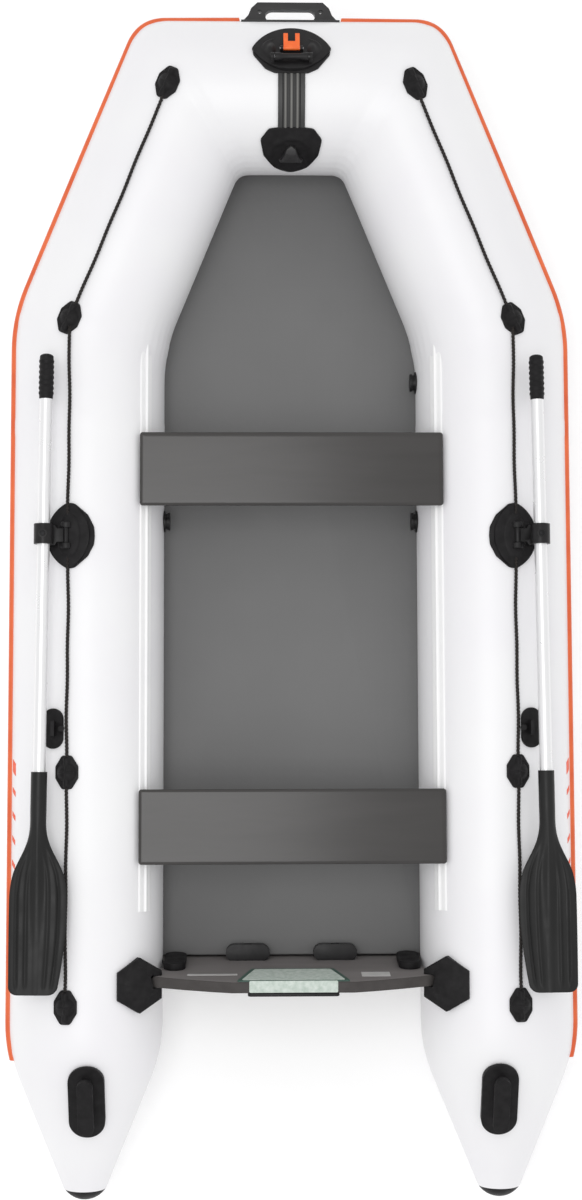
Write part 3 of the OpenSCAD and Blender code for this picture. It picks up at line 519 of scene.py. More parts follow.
def bend(a, corner, b, cut, count):
    """A quadratic curve from cut before the corner to cut after it, towards a and b."""
    cut = np.broadcast_to(cut, len(corner))[:, None]
    t = np.linspace(0, 1, count)[:, None, None]
    p = corner + cut * unit(a - corner)
    q = corner + cut * unit(b - corner)
    return (1 - t) ** 2 * p + 2 * t * (1 - t) * corner + t**2 * q


def run_between(a, b, step):
    """Points from a to b, without its ends, about a step apart."""
    count = max(2, int(np.linalg.norm(b - a, axis=-1).mean() / step))
    t = np.linspace(0, 1, count + 1)[1:-1, None, None]
    return a + t * (b - a)


def skin_rows(radius, angles):
    """Rows of skin points from the starboard cone's tip round the bow to the port one."""
    stern, shoulder, corner, middle = stringers(angles, radius)
    tip_radius = np.broadcast_to(radius, angles.shape)[:, None] - TUBE_R + TIP_R
    radial = unit(stern - [TUBE_X, STERN_Y, TUBE_R])
    tip = np.array([TUBE_X, TIP_Y, TUBE_R]) + radial * tip_radius
    bow_cut = ROUND_BOW_INSIDE + (ROUND_BOW - ROUND_BOW_INSIDE) * (1 + np.sin(angles)) / 2
    bends = [bend(tip, stern, shoulder, ROUND_CONE, 9),
             bend(stern, shoulder, corner, ROUND_SHOULDER, 17),
             bend(shoulder, corner, middle, bow_cut, 17)]
    rows, last = [tip[None]], tip
    for curve in bends:
        rows += [run_between(last, curve[0], RING_STEP), curve]
        last = curve[-1]
    rows.append(run_between(last, middle, RING_STEP))
    half = np.concatenate(rows)
    return np.concatenate([half, middle[None], half[::-1] * [-1, 1, 1]])


angles = np.linspace(-math.pi, math.pi, AROUND, endpoint=False)
skin = skin_rows(TUBE_R, angles)
core = np.repeat(skin.mean(axis=1, keepdims=True), AROUND, axis=1)
outward = unit(skin - core)
core_run = np.concatenate(
    [[0], np.cumsum(np.linalg.norm(np.diff(core[:, 0], axis=0), axis=1))])
print("skin", skin.shape, "run", round(core_run[-1], 3), "m")

# %% [markdown]
# Seam tapes, about 35 mm wide and under a millimetre proud, cross the tubes at every
# mitre, at the cone joints and at the baffles. A backing band runs behind the rub strake.
# Where a bend shortens the inner side the fabric puckers a little. These are all small
# pushes along the outward direction.

# %% Seams and puckers
STRAKE_RISE = math.radians(12)
TAPE_HALF = 17 * MM
TAPE_PROUD = 0.9 * MM
BAFFLE_HALF = 22 * MM
BAFFLE_AT = aft(1.16)
BACKING_HALF = 24 * MM
PUCKER_REACH = 60 * MM
PUCKER_DEEP = 1.6 * MM


def step_band(distance, half_width, edge):
    """1 within half_width of a line and 0 beyond, with a soft edge."""
    return 1 / (1 + np.exp((np.abs(distance) - half_width) / edge))


def plane_distance(points, at, normal):
    """Distance of points from the plane through at, square to normal."""
    return (points - at) @ normal


starboard_skin = np.where(skin[..., :1] < 0, skin * [-1, 1, 1], skin)
seams = [
    (plane_distance(starboard_skin, BOW_CORNER, BOW_MITRE), TAPE_HALF),
    (plane_distance(starboard_skin, SHOULDER, SHOULDER_MITRE), TAPE_HALF),
    (starboard_skin[..., 1] - STERN_Y, TAPE_HALF),
    (starboard_skin[..., 1] - BAFFLE_AT, BAFFLE_HALF)]
push = sum(TAPE_PROUD * step_band(d, w, 1.5 * MM) for d, w in seams)
push = np.minimum(push, 1.1 * MM)
band = angles - math.pi / 2 + STRAKE_RISE
push += 1.2 * MM * step_band(band, BACKING_HALF / TUBE_R, 1.2 * MM / TUBE_R)[None, :]
inner = np.clip(-np.sin(angles), 0, 1) ** 3
folds = np.sin(angles * 46) * 0.5 + 0.5 * np.sin(angles * 71 + 1.3)
for distance, _half in seams[:2]:
    push += PUCKER_DEEP * np.exp(-((distance / PUCKER_REACH) ** 2)) * (inner * folds)[None, :]
skin = skin + outward * push[..., None]
skin_uv = np.stack(np.broadcast_arrays(core_run[:, None], angles[None, :] * TUBE_R), -1)
hull_skin = surface(
    "hull_skin", skin, white_pvc, "hull",
    ["bow_tube", "port_quarter_tube", "starboard_quarter_tube", "port_side_tube",
     "starboard_side_tube", "port_stern_cone", "starboard_stern_cone"], sharp=50, uv=skin_uv)
print("hull skin has", len(hull_skin.data.polygons), "faces")

# %% [markdown]
# ## Rub strake
# The strake is an extruded D-section of orange PVC, welded round the hull a little above
# the tubes' widest line, so it meets a quay first. Its section is carried along one skin
# line, and faces straight out of the skin. It stops on both sides of the bow handle.

# %% Strake
STRAKE_STOP = 141 * MM
STRAKE_PAST_STERN = 22 * MM


def strake_rings(reach=12.2 * MM, half_high=13 * MM):
    """The starboard half's D-section, flat side in, from the bow handle to the stern."""
    both = skin_rows(np.array([TUBE_R, TUBE_R + reach]), np.full(2, math.pi / 2 - STRAKE_RISE))
    line, out = both[:, 0], unit(both[:, 1] - both[:, 0])
    keep = (line[:, 1] > STERN_Y - STRAKE_PAST_STERN) & (line[:, 0] > STRAKE_STOP)
    line, out = line[keep][::-1], out[keep][::-1]
    head = line[0] * [0, 1, 1] + [STRAKE_STOP, 0, 0]
    line, out = np.concatenate([[head], line]), np.concatenate([out[:1], out])
    up = unit(np.cross(unit(np.gradient(line, axis=0)), out))
    up = up * np.sign(up[:, 2])[:, None]
    a = np.linspace(0, 2 * math.pi, 28, endpoint=False)
    high = half_high * np.sin(a)
    deep = np.where(np.cos(a) > 0, reach * np.abs(np.cos(a)) ** 0.8, -2.5 * MM)
    return line[:, None] + deep[None, :, None] * out[:, None] + high[None, :, None] * up[:, None]


for _side, _port in SIDES[::-1]:
    surface(f"{_side}_strake", strake_rings(), orange_pvc, "hull",
            [] if _port else ["rub_strake"], port=_port, sharp=50)
print("strake made")

# %% [markdown]
# ## Flat boards and panels
# The floor, thwarts, transom and plates are slabs with worked edges. A slab's outline is
# a polygon with rounded corners. Its rings are the same outline, drawn in by a distance
# and raised to a height, so an edge can be rounded, bevelled or grooved by listing pairs.

# %% Slabs
def inset_outline(points, radius, inset, arc=7):
    """A polygon moved in by a distance, with each corner replaced by an arc."""
    p = np.asarray(points, float)
    before, after = unit(p - np.roll(p, 1, 0)), unit(np.roll(p, -1, 0) - p)
    turn = before[:, 0] * after[:, 1] - before[:, 1] * after[:, 0]
    normal = np.stack([-before[:, 1], before[:, 0]], 1)
    half = np.arctan2(turn, np.einsum("ij,ij->i", before, after)) / 2
    shifted = p + inset * (normal - before * np.tan(half)[:, None])
    r = np.broadcast_to(np.asarray(radius, float), len(p))
    r = np.maximum(r - inset * np.sign(half), 0.4 * MM)
    centre = shifted - before * (r * np.tan(np.abs(half)))[:, None]
    centre = centre + normal * (r * np.sign(half))[:, None]
    t = np.linspace(0, 1, arc)[None, :]
    turned = 2 * half[:, None] * t
    spoke = -normal * np.sign(half)[:, None]
    c, s = np.cos(turned), np.sin(turned)
    x = spoke[:, :1] * c - spoke[:, 1:] * s
    y = spoke[:, :1] * s + spoke[:, 1:] * c
    return (centre[:, None] + r[:, None, None] * np.stack([x, y], -1)).reshape(-1, 2)


def slab_rings(points, radius, profile):
    """Rings for profile pairs (inset, height), in the slab's own flat coordinates."""
    rings = []
    for inset, height in profile:
        flat = inset_outline(points, radius, inset)
        rings.append(np.column_stack([flat, np.full(len(flat), height)]))
    return np.array(rings)


def round_edge(thickness, radius, top_extra=()):
    """Profile pairs for a slab with rounded edges, from its underside to its top."""
    a = np.linspace(0, math.pi / 2, 5)
    low = [(radius * (1 - math.sin(x)), radius * (1 - math.cos(x))) for x in a]
    high = [(radius * (1 - math.cos(x)), thickness - radius * (1 - math.sin(x))) for x in a]
    return [(radius * 3, 0)] + low + high + list(top_extra)


# %% Air floor
floor_low, floor_high = box_corners("air_floor")
floor_t = floor_high[2] - floor_low[2]
TOUCH = 2.5 * MM


def floor_reach(centre_height):
    """How far a tube's skin stands from its centreline at the height of the floor."""
    return np.sqrt(TUBE_R**2 - (centre_height - floor_high[2]) ** 2) - TOUCH


def floor_side():
    """Plan points of the starboard edge: stern, along the side, round into the bow."""
    t = np.linspace(0, 1, 9)
    inward = unit(np.array([-QUARTER_WAY[1], QUARTER_WAY[0]]))
    height = TUBE_R + t * (BOW_Z - TUBE_R)
    centre = SHOULDER[:2] + t[:, None] * (BOW_CORNER - SHOULDER)[:2]
    quarter = centre - floor_reach(height)[:, None] * inward
    side_x, nose_y = TUBE_X - floor_reach(TUBE_R), BOW_Y - floor_reach(BOW_Z)
    slope = quarter[1] - quarter[0]
    first = quarter[0] + slope * (side_x - quarter[0, 0]) / slope[0]
    slope = quarter[-1] - quarter[-2]
    last = quarter[-1] + slope * (nose_y - quarter[-1, 1]) / slope[1]
    inside = quarter[(quarter[:, 1] > first[1] + 0.02) & (quarter[:, 1] < last[1] - 0.02)]
    return np.concatenate([[[side_x, floor_low[1]]], [first], inside, [last]])


floor_edge = floor_side()
floor_points = np.concatenate([floor_edge, floor_edge[::-1] * [-1, 1]])
floor_radius = np.where(floor_points[:, 1] > floor_edge[-1, 1] - MM, 22 * MM, 15 * MM)
floor_rings = slab_rings(floor_points, floor_radius, round_edge(floor_t, 5 * MM))
floor_panel = surface("floor_panel", floor_rings + [0, 0, floor_low[2]], floor_pvc, "hull",
                      ["air_floor"], sharp=60)
print("floor is", round(2 * floor_edge[0, 0], 3), "m wide")

# %% [markdown]
# ## Thwarts
# Each thwart is a plank 15 mm thick. Its upper edge has a shallow chamfer 7 mm wide, which
# catches the light as a thin line all round the painted face.

# %% Thwarts
def thwart(name):
    """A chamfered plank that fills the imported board's box."""
    low, high = box_corners(name)
    middle, half = (low + high) / 2, (high - low) / 2
    points = [[-half[0], -half[1]], [half[0], -half[1]], [half[0], half[1]], [-half[0], half[1]]]
    t = 2 * half[2]
    profile = [(6 * MM, 0), (2 * MM, 0), (0, 2 * MM), (0, t - 4 * MM), (1 * MM, t - 2.6 * MM),
               (7 * MM, t - 0.2 * MM), (8 * MM, t), (14 * MM, t)]
    rings = slab_rings(points, 8 * MM, profile)
    surface(name.replace("thwart", "plank"), rings + [middle[0], middle[1], low[2]],
            varnished_ply, name, [name], sharp=50)


for _name in ("front_thwart", "rear_thwart"):
    thwart(_name)
print("thwarts made")

# %% [markdown]
# ## Transom
# The transom is a 30 mm board that leans 7 degrees aft. Its ends are cut round the tubes,
# its top is level where the motor clamps and falls away to both sides. It is drawn flat,
# with its thickness along the third axis, and then stood up.

# %% Transom board
RAKE = math.radians(7)
FOOT = np.array([0, aft(2.638), floor_high[2]])
TRANSOM_T = 30 * MM
TOP = (428 * MM - floor_high[2]) / math.cos(RAKE)


def stand_up(flat):
    """(across, up, thickness) to the transom's place: up leans aft by the rake."""
    x, up, deep = flat[..., 0], flat[..., 1], flat[..., 2]
    y = FOOT[1] - deep * math.cos(RAKE) - up * math.sin(RAKE)
    z = FOOT[2] - deep * math.sin(RAKE) + up * math.cos(RAKE)
    return np.stack([x, y, z], -1)


def transom_outline():
    """Half the outline from the keel to the middle of the top, then its mirror image."""
    clear = TUBE_R + 3 * MM
    lowest, highest = (math.acos((z - TUBE_R) / clear) for z in (62 * MM, 345 * MM))
    a = np.linspace(lowest, highest, 14)
    end = np.stack([TUBE_X - clear * np.sin(a),
                    (TUBE_R + clear * np.cos(a) - FOOT[2]) / math.cos(RAKE)], 1)
    top = [[0.36, TOP - 62 * MM], [0.29, TOP - 36 * MM], [0.22, TOP - 14 * MM], [0.165, TOP]]
    half = np.concatenate([[[0.02, (16 * MM - FOOT[2])]], end, top])
    return np.concatenate([half, half[::-1] * [-1, 1]])


transom_profile = round_edge(TRANSOM_T, 4 * MM, [(8 * MM, TRANSOM_T)])
transom_rings = slab_rings(transom_outline(), 5 * MM, transom_profile)
transom_panel = surface("transom_panel", stand_up(transom_rings), transom_paint, "hull",
                        ["transom_board"], sharp=50)
transom_panel.data.materials.append(edge_sealer)
normals = np.zeros(3 * len(transom_panel.data.polygons))
transom_panel.data.polygons.foreach_get("normal", normals)
SEALED_ABOVE = 0.4
facing_up = normals.reshape(-1, 3)[:, 2] > SEALED_ABOVE
transom_panel.data.polygons.foreach_set("material_index", facing_up.astype(np.int32))
print("transom top at", round(FOOT[2] + TOP * math.cos(RAKE), 3))

# %% [markdown]
# The plates under the motor's clamps are sheet plastic. The inner one is pale with a dark
# border and folds over the board's top edge as a saddle. The outer one is black. Two blank
# labels, a paper strip and a metal tag, are glued beside the inner plate.

# %% Motor plates
def plate(name, points, deep, thick, finish, stands_for=(), corner=6 * MM, edge=1 * MM):
    """A plate on the board's face: its back at deep, its front thick further out."""
    rings = slab_rings(points, corner, round_edge(thick, edge, [(5 * MM, thick)]))
    sign = 1 if deep > 0 else -1
    rings[..., 2] = deep + rings[..., 2] * sign
    return surface(name, stand_up(rings), finish, "hull", stands_for, sharp=50)


def tapered(half_top, half_low, top, low):
    """The corners of an upright trapezium on the board, anticlockwise."""
    return [[-half_low, low], [half_low, low], [half_top, top], [-half_top, top]]


plate("inner_plate_border", tapered(0.152, 0.112, TOP - 3 * MM, TOP - 0.14), -0.3 * MM, 3 * MM,
      dark_green, ["inner_motor_plate"])
plate("inner_plate_face", tapered(0.139, 0.103, TOP - 12 * MM, TOP - 0.131), -1 * MM, 3.2 * MM,
      green_plate)
plate("outer_plate", tapered(0.122, 0.122, TOP + 2 * MM, TOP - 0.153), TRANSOM_T + 0.3 * MM,
      8 * MM, black_nylon, ["outer_motor_plate"], corner=10 * MM)
saddle = slab_rings([[-0.118, -4 * MM], [0.118, -4 * MM], [0.118, TRANSOM_T - 2 * MM],
                     [-0.118, TRANSOM_T - 2 * MM]], 4 * MM, round_edge(2.6 * MM, 1 * MM))
surface("plate_saddle", stand_up(saddle[..., [0, 2, 1]] + [0, TOP - 1 * MM, 0]), green_plate,
        "hull", sharp=50)
plate("label_strip",
      [[-0.285, TOP - 0.092], [-0.150, TOP - 0.092], [-0.150, TOP - 0.076], [-0.285, TOP - 0.076]],
      -0.1 * MM, 0.8 * MM, label_film, corner=1.5 * MM, edge=0.3 * MM)
plate("label_tag", [[0.185, TOP - 0.105], [0.262, TOP - 0.105], [0.262, TOP - 0.058],
                    [0.185, TOP - 0.058]], -0.1 * MM, 0.8 * MM, label_film, corner=2 * MM,
      edge=0.3 * MM)
print("plates made")

# %% [markdown]
# ## Pads welded to the tubes
# Rope pads, oarlock bases and the towing pad are rubber mouldings that lie on a curved
# skin. Each is a height field over an outline, measured across and along the tube, and
# wrapped round the cylinder: the distance across becomes an angle.

# %% Wrapping
SIDE = (np.array([TUBE_X, 0, TUBE_R]), np.array([0, 1.0, 0]), np.array([1.0, 0, 0]))
QUARTER = (BOW_CORNER, -QUARTER_WAY, across(QUARTER_WAY)[0])
BOW = (np.array([0, BOW_Y, BOW_Z]), np.array([1.0, 0, 0]), np.array([0, 1.0, 0]))


def wrap(tube, angle, at, x, y, h):
    """x across (outboard), y along, h above the skin, about a place on a tube."""
    origin, along, out = tube
    up = np.cross(along, out) * (1 if np.cross(along, out)[2] > 0 else -1)
    a = (angle + x / TUBE_R)[..., None]
    return (origin + (at + y)[..., None] * along
            + (TUBE_R + h)[..., None] * (np.cos(a) * up + np.sin(a) * out))


def field(outline, height, shells=22):
    """Rings of (x, y, h): a flat underside, a wall and a top drawn in to the middle."""
    shrink = np.linspace(1, 0.02, shells)[:, None, None] ** 0.8
    top = outline[None] * shrink
    h = height(top[..., 0], top[..., 1])
    edge = h[0]
    walls = [(0.5, -0.6 * MM), (1.0, -0.6 * MM), (1.0, 0.0), (1.0, 0.75)]
    rows = []
    for scale, k in walls:
        z = np.full(len(outline), k) if k <= 0 else edge * k
        rows.append(np.column_stack([outline * scale, z]))
    rows.append(np.column_stack([outline * 0.985, edge]))
    return np.concatenate([np.array(rows), np.concatenate([top * 0.97, h[..., None]], -1)])


def pad(name, tube, angle, at, outline, height, finish, stands_for=(), port=False, sharp=60):
    """A wrapped moulding at an angle from the crown and a distance along the tube."""
    f = field(outline, height)
    rings = wrap(tube, angle, np.full(f.shape[:2], at), f[..., 0], f[..., 1], f[..., 2])
    return surface(name, rings, finish, "hull", stands_for, port=port, sharp=sharp)


def dense(points, radius, count=96):
    """A rounded polygon resampled to evenly spaced points."""
    ring = inset_outline(points, radius, 0)
    closed = np.column_stack([np.vstack([ring, ring[:1]]), np.zeros(len(ring) + 1)])
    return along_points(closed, count + 1)[:-1, :2]


def soft_step(x, at, edge):
    """0 below at and 1 above it, over a short rise."""
    return 1 / (1 + np.exp(-(x - at) / edge))


# %% [markdown]
# ### Rope pads
# A rope pad is a long hexagon with a dome. The rope enters at both points through a
# raised tunnel, and two ribs cross on the dome.

# %% Rope pads
pad_outline = dense([[-31 * MM, -16 * MM], [-13 * MM, -45 * MM], [13 * MM, -45 * MM],
                     [31 * MM, -16 * MM], [31 * MM, 16 * MM], [13 * MM, 45 * MM],
                     [-13 * MM, 45 * MM], [-31 * MM, 16 * MM]], 9 * MM)


def rope_pad_height(x, y):
    """Foot 6 mm, dome to 20 mm, a tunnel along the rope and two crossing ribs."""
    far = np.hypot(x, y)
    dome = 14 * MM * np.clip(1 - (far / (27 * MM)) ** 2.6, 0, 1)
    tunnel = 9.5 * MM * np.exp(-((x / (8 * MM)) ** 4)) * soft_step(-np.abs(y), -41 * MM, 1.5 * MM)
    ribs = np.maximum(np.exp(-((x / (2.2 * MM)) ** 2)), np.exp(-((y / (2.2 * MM)) ** 2)))
    ribs = 2.2 * MM * ribs * soft_step(-far, -21 * MM, 1 * MM)
    return 6 * MM + np.maximum(dome, tunnel) + ribs


QUARTER_LENGTH = np.linalg.norm(SHOULDER - BOW_CORNER)
pad_spots = [("bow", QUARTER, -26 * MM), ("shoulder", QUARTER, -(QUARTER_LENGTH - 8 * MM)),
             ("aft", SIDE, aft(2.117)), ("stern", SIDE, aft(2.737))]
for _side, _port in SIDES:
    for _spot, _tube, _at in pad_spots:
        _stands = ["rope_pads"] if (_side, _spot) == ("port", "bow") else []
        pad(f"{_side}_{_spot}_rope_pad", _tube, ROPE_ANGLE, _at, pad_outline, rope_pad_height,
            black_rubber, _stands, port=_port)
print("eight rope pads made")

# %% [markdown]
# ### Bow pads
# The towing pad is a shield on the bow tube's inner side with a rounded rim and a
# three-sided boss. The fairlead's foot is boat-shaped, with a raised rim round the recess
# that the roller and the latch sit in. Both lie across the bow tube, so their along axis
# runs port to starboard.

# %% Bow pads
TOWING_ANGLE = math.radians(-63)
FAIRLEAD_ANGLE = math.radians(17.3)
towing_outline = dense(np.array([[-84, -8], [-84, 8], [-52, 46], [-5, 76], [48, 85], [80, 62],
                                 [84, 30], [84, -30], [80, -62], [48, -85], [-5, -76],
                                 [-52, -46]]) * MM, 14 * MM)


def towing_height(x, y):
    """A flat shield, 7 mm thick, with a soft raised rim round the boss."""
    rim = 2.5 * MM * np.exp(-(((np.hypot(x + 8 * MM, y) - 62 * MM) / (7 * MM)) ** 2))
    return 7 * MM + rim


pad("towing_shield", BOW, TOWING_ANGLE, 0.0, towing_outline, towing_height, black_rubber,
    ["towing_pad"])
boss_outline = dense(np.array([[-24, -33], [-24, 33], [-17, 35], [-9, 25], [27, 12], [34, 0],
                               [27, -12], [-9, -25], [-17, -35]]) * MM, 5 * MM)


def boss_height(x, y):
    """A shackle boss: steep sides up to a rounded top 22 mm above the skin."""
    far = np.maximum(np.abs(x - 4 * MM) / (31 * MM), np.abs(y) / (33 * MM))
    return 8 * MM + 14 * MM * np.clip(1 - far**2.2, 0, 1) ** 0.6


# The boss is drawn in the paler grey rubber: a painted highlight for the light on its relief.
pad("towing_boss", BOW, TOWING_ANGLE, 0.0, boss_outline, boss_height, grey_rubber_and_boss_highlight)
fair_outline = dense(np.array([[4, -107], [34, -66], [48, -50], [51, 0], [48, 50], [34, 66],
                               [4, 107], [-14, 104], [-54, 72], [-66, 46], [-66, -46],
                               [-54, -72], [-14, -104]]) * MM, 12 * MM)


def fairlead_height(x, y):
    """A foot 6 mm thick, a rim round an oval recess, and shoulders at the roller's ends."""
    f = np.sqrt((y / (80 * MM)) ** 2 + ((x - 4 * MM) / (38 * MM)) ** 2)
    rim = 6 * MM * np.exp(-(((f - 1) / 0.10) ** 2))
    inside = 2 * MM * soft_step(-f, -1.0, 0.04)
    shoulder = 13 * MM * np.exp(-((np.abs(y) - 60 * MM) / (12 * MM)) ** 2
                                - ((x + 2 * MM) / (22 * MM)) ** 2)
    return 6 * MM + rim + inside + shoulder


pad("fairlead_foot", BOW, FAIRLEAD_ANGLE, 0.0, fair_outline, fairlead_height, black_nylon)
print("bow pads made")

# %% [markdown]
# ### Wear strip
# A fluted strip saves the tube from the anchor line. Its cross-section has a raised edge on
# each side and four flutes between three ridges, whose crowns carry a painted sheen.

# %% Wear strip
def strip_rings():
    """Cross-sections at even angles over the tube, from the fairlead to the towing pad."""
    turn = np.radians(np.linspace(-1, -42, 50))[:, None]
    y = np.linspace(-37, 37, 75) * MM
    flutes = 3.2 * MM * np.abs(np.cos(y / FLUTE * math.pi)) ** 1.2
    ridges = np.where(np.abs(y) < 1.5 * FLUTE, flutes, 2.4 * MM) + 2.6 * MM
    across_strip = np.concatenate([y, y[::-1]])[None, :]
    height = np.concatenate([ridges, np.full(len(y), -0.5 * MM)])[None, :]
    turn, across_strip, height = np.broadcast_arrays(turn, across_strip, height)
    r = TUBE_R + height
    return np.stack([across_strip, BOW_Y + r * np.sin(turn), BOW_Z + r * np.cos(turn)], -1)


# The paler crowns come from the painted sheen in the strip's finish.
surface("fluted_strip", strip_rings(), strip_rubber_painted_sheen, "hull", ["wear_strip"], sharp=60)
print("strip made")

# %% [markdown]
# ### Seat rails
# A rail is a white band glued along the tube's inner side, thicker in the middle where the
# thwart's shoes run on a low round bead. Its section is a function of the distance across.

# %% Seat rails
RAIL_ANGLE = math.radians(-52.3)
RAIL_HALF = 24 * MM
BEAD_R = 4.6 * MM


def rail_rings():
    """The starboard band's cross-sections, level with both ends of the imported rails."""
    low, high = box_corners("seat_rails")
    x = np.linspace(-1, 1, 81) * RAIL_HALF
    band = 3.0 * MM * (1 - np.abs(x / RAIL_HALF) ** 14)
    bead = np.sqrt(np.clip(BEAD_R**2 - x**2, 0, None))
    top = np.where(bead > 0, np.maximum(band, 3.2 * MM + bead), band)
    across_band = np.concatenate([x, x[::-1]])[None, :]
    height = np.concatenate([top, np.full(len(x), -0.8 * MM)])[None, :]
    y = np.linspace(low[1], high[1], 60)[:, None]
    a = RAIL_ANGLE + across_band / TUBE_R
    y, a, height = np.broadcast_arrays(y, a, height)
    r = TUBE_R + height
    return np.stack([TUBE_X + r * np.sin(a), y, TUBE_R + r * np.cos(a)], -1)


for _side, _port in SIDES:
    surface(f"{_side}_seat_rail", rail_rings(), rail_pvc, "hull",
            ["seat_rails"] if _port else [], port=_port, sharp=45)
print("seat rails made")

# %% [markdown]
# ### Oarlock feet
# Each oarlock's foot is a pointed oval whose inboard side is broader, with a raised saddle
# round the hinge and a shallow moat between saddle and rim.

# %% Oarlock feet
lock_outline = dense(np.array([[4, -90], [34, -66], [52, -30], [54, 0], [52, 30], [34, 66],
                               [4, 90], [-12, 86], [-46, 56], [-62, 24], [-64, 0], [-62, -24],
                               [-46, -56], [-12, -86]]) * MM, 12 * MM)


def lock_height(x, y):
    """A foot 7 mm thick with an oval saddle, and a soft ridge just inside the edge."""
    f = np.sqrt(((x - 4 * MM) / (36 * MM)) ** 2 + (y / (66 * MM)) ** 2)
    saddle = 7 * MM * soft_step(-f, -0.92, 0.05)
    ridge = 2.5 * MM * np.exp(-(((f - 1.45) / 0.09) ** 2))
    return 6 * MM + saddle + ridge - 1.5 * MM * np.exp(-(((f - 1.12) / 0.08) ** 2))


LOCK_AT = aft(1.480)
LOCK_ANGLE = math.radians(8.5)
KNUCKLE_FROM, KNUCKLE_TO = 19.2 * MM, 37 * MM
for _side, _port in SIDES:
    pad(f"{_side}_lock_foot", SIDE, LOCK_ANGLE, LOCK_AT, lock_outline, lock_height,
        black_rubber, port=_port)


def knuckle_rings(start_y, end_y, radius=14 * MM, flatter=0.7):
    """A barrel along the tube at the hinge, with rounded ends, low enough for the oar."""
    low, high = box_corners("starboard_oarlock_arm")
    centre_x, centre_z = low[0] + 8 * MM, high[2] - 8 * MM
    k = np.linspace(-1, 1, 24)[:, None]
    a = np.linspace(0, 2 * math.pi, 40, endpoint=False)[None, :]
    y = (start_y + end_y) / 2 + k * (end_y - start_y) / 2
    r = radius * (1 - 0.45 * np.abs(k) ** 8)
    x, z = centre_x + r * np.cos(a), centre_z + flatter * r * np.sin(a)
    return np.stack(np.broadcast_arrays(x, y, z), -1)


for _side, _port in SIDES:
    for _end, _sign in (("bow", 1), ("stern", -1)):
        surface(f"{_side}_{_end}_knuckle",
                knuckle_rings(LOCK_AT + _sign * KNUCKLE_FROM, LOCK_AT + _sign * KNUCKLE_TO),
                black_nylon, "hull", port=_port, sharp=60)
print("oarlock feet made")

# %% [markdown]
# ## Oars
# A blade is injection moulded: a thin flat leaf, thickened along a spine that runs out of
# the socket, with two curved ribs that follow its edges. Each cross-section is a flattened
# ring whose half thickness is the leaf plus the spine and the ribs.

# %% Oar axis
def box_middle(name):
    """The middle of a node's box."""
    return sum(box_corners(name)) / 2


GRIP_LONG = 124 * MM
grip_middle = box_middle("starboard_oar_grip")
oar_way = unit(box_middle("starboard_oar_shaft") - grip_middle)
oar_top = grip_middle - oar_way * GRIP_LONG / 2
oar_side = unit(np.cross([0, 0, 1.0], oar_way)) * -1
oar_side = oar_side * np.sign(oar_side[0])


def on_oar(across_oar, run, high):
    """Points at distances across, aft along and above the starboard oar's axis."""
    across_oar, run, high = np.broadcast_arrays(across_oar, run, high)
    return (oar_top + across_oar[..., None] * oar_side + run[..., None] * oar_way
            + high[..., None] * [0, 0, 1.0])


print("oar axis leans", round(math.degrees(math.atan2(oar_way[0], -oar_way[1])), 2), "degrees")

# %% [markdown]
# The blade's outer edge runs nearly straight and its inner edge swells and draws in again,
# so the outline is not symmetric. Two ribs on each side of the spine follow the edges.

# %% Blades
OAR_LONG = 1.71
SOCKET_AT = 1.125
NECK_AT = 1.235
SOCKET_R = 21.5 * MM


def swell(t, widest, fall):
    """Half width from the neck: a smooth rise, then a slow fall to a rounded corner."""
    rise = np.sin(np.clip(t * 2.1, 0, 1) * math.pi / 2) ** 1.35
    corner = np.clip((t - 0.955) / 0.045, 0, 1)
    narrow = fall * np.clip((t - 0.55) / 0.45, 0, 1) ** 1.7
    return 13 * MM + (widest - 13 * MM) * rise - narrow - 22 * MM * (1 - np.sqrt(1 - corner**2))


def blade_rings():
    """Rings across the oar, from the socket's mouth to the blade's end."""
    neck = (NECK_AT - SOCKET_AT) / (OAR_LONG - SOCKET_AT)
    s = np.concatenate([np.linspace(0, neck * 1.5, 14), np.linspace(neck * 1.5, 0.94, 110)[1:],
                        0.94 + 0.06 * np.sin(np.linspace(0, math.pi / 2, 26))[1:]])[:, None]
    t = np.clip((s - neck) / (1 - neck), 0, 1)
    a = np.linspace(0, 2 * math.pi, 160, endpoint=False)[None, :]
    blend = np.clip((s - neck * 0.9) / (neck * 1.6), 0, 1)
    blend = blend * blend * (3 - 2 * blend)
    outer, inner = swell(t, 73 * MM, 2 * MM), swell(t, 79 * MM, 24 * MM)
    wide = np.where(np.cos(a) > 0, outer, inner)
    wide = (1 - blend) * SOCKET_R + blend * wide
    x = wide * np.sign(np.cos(a)) * np.abs(np.cos(a)) ** (1 - 0.3 * blend)
    r = np.abs(x) / wide
    spine_w = 15 * MM * (1 - t) + 5 * MM
    spine = 19 * MM * np.clip(1 - t / 0.75, 0, 1) * np.exp(-((x / spine_w) ** 2)) + 2 * MM * np.exp(
        -((x / (4 * MM)) ** 2))
    ribs = sum(5.0 * MM * np.exp(-((((r - place) * wide) / (3.5 * MM)) ** 2))
               for place in (0.38, 0.72))
    ribs = ribs * soft_step(t, 0.27, 0.05) * soft_step(-t, -0.95, 0.01)
    leaf = 2.6 * MM * np.clip(1 - r**12, 0, 1) + 0.3 * MM
    flat = np.clip(np.abs(np.sin(a)) * 6, 0, 1)
    thick = (1 - blend) * SOCKET_R * np.abs(np.sin(a)) + blend * (leaf + spine + ribs) * flat
    return on_oar(x, SOCKET_AT + s * (OAR_LONG - SOCKET_AT), np.sign(np.sin(a)) * thick)


for _side, _port in SIDES:
    surface(f"{_side}_blade", blade_rings(), blade_plastic, f"{_side}_oar",
            [f"{_side}_oar_blade"], port=_port, sharp=60)
print("blades made")

# %% [markdown]
# The grip is a rubber sleeve with seven finger ribs and a rounded closed end: a profile of
# radius along the oar, turned round it.

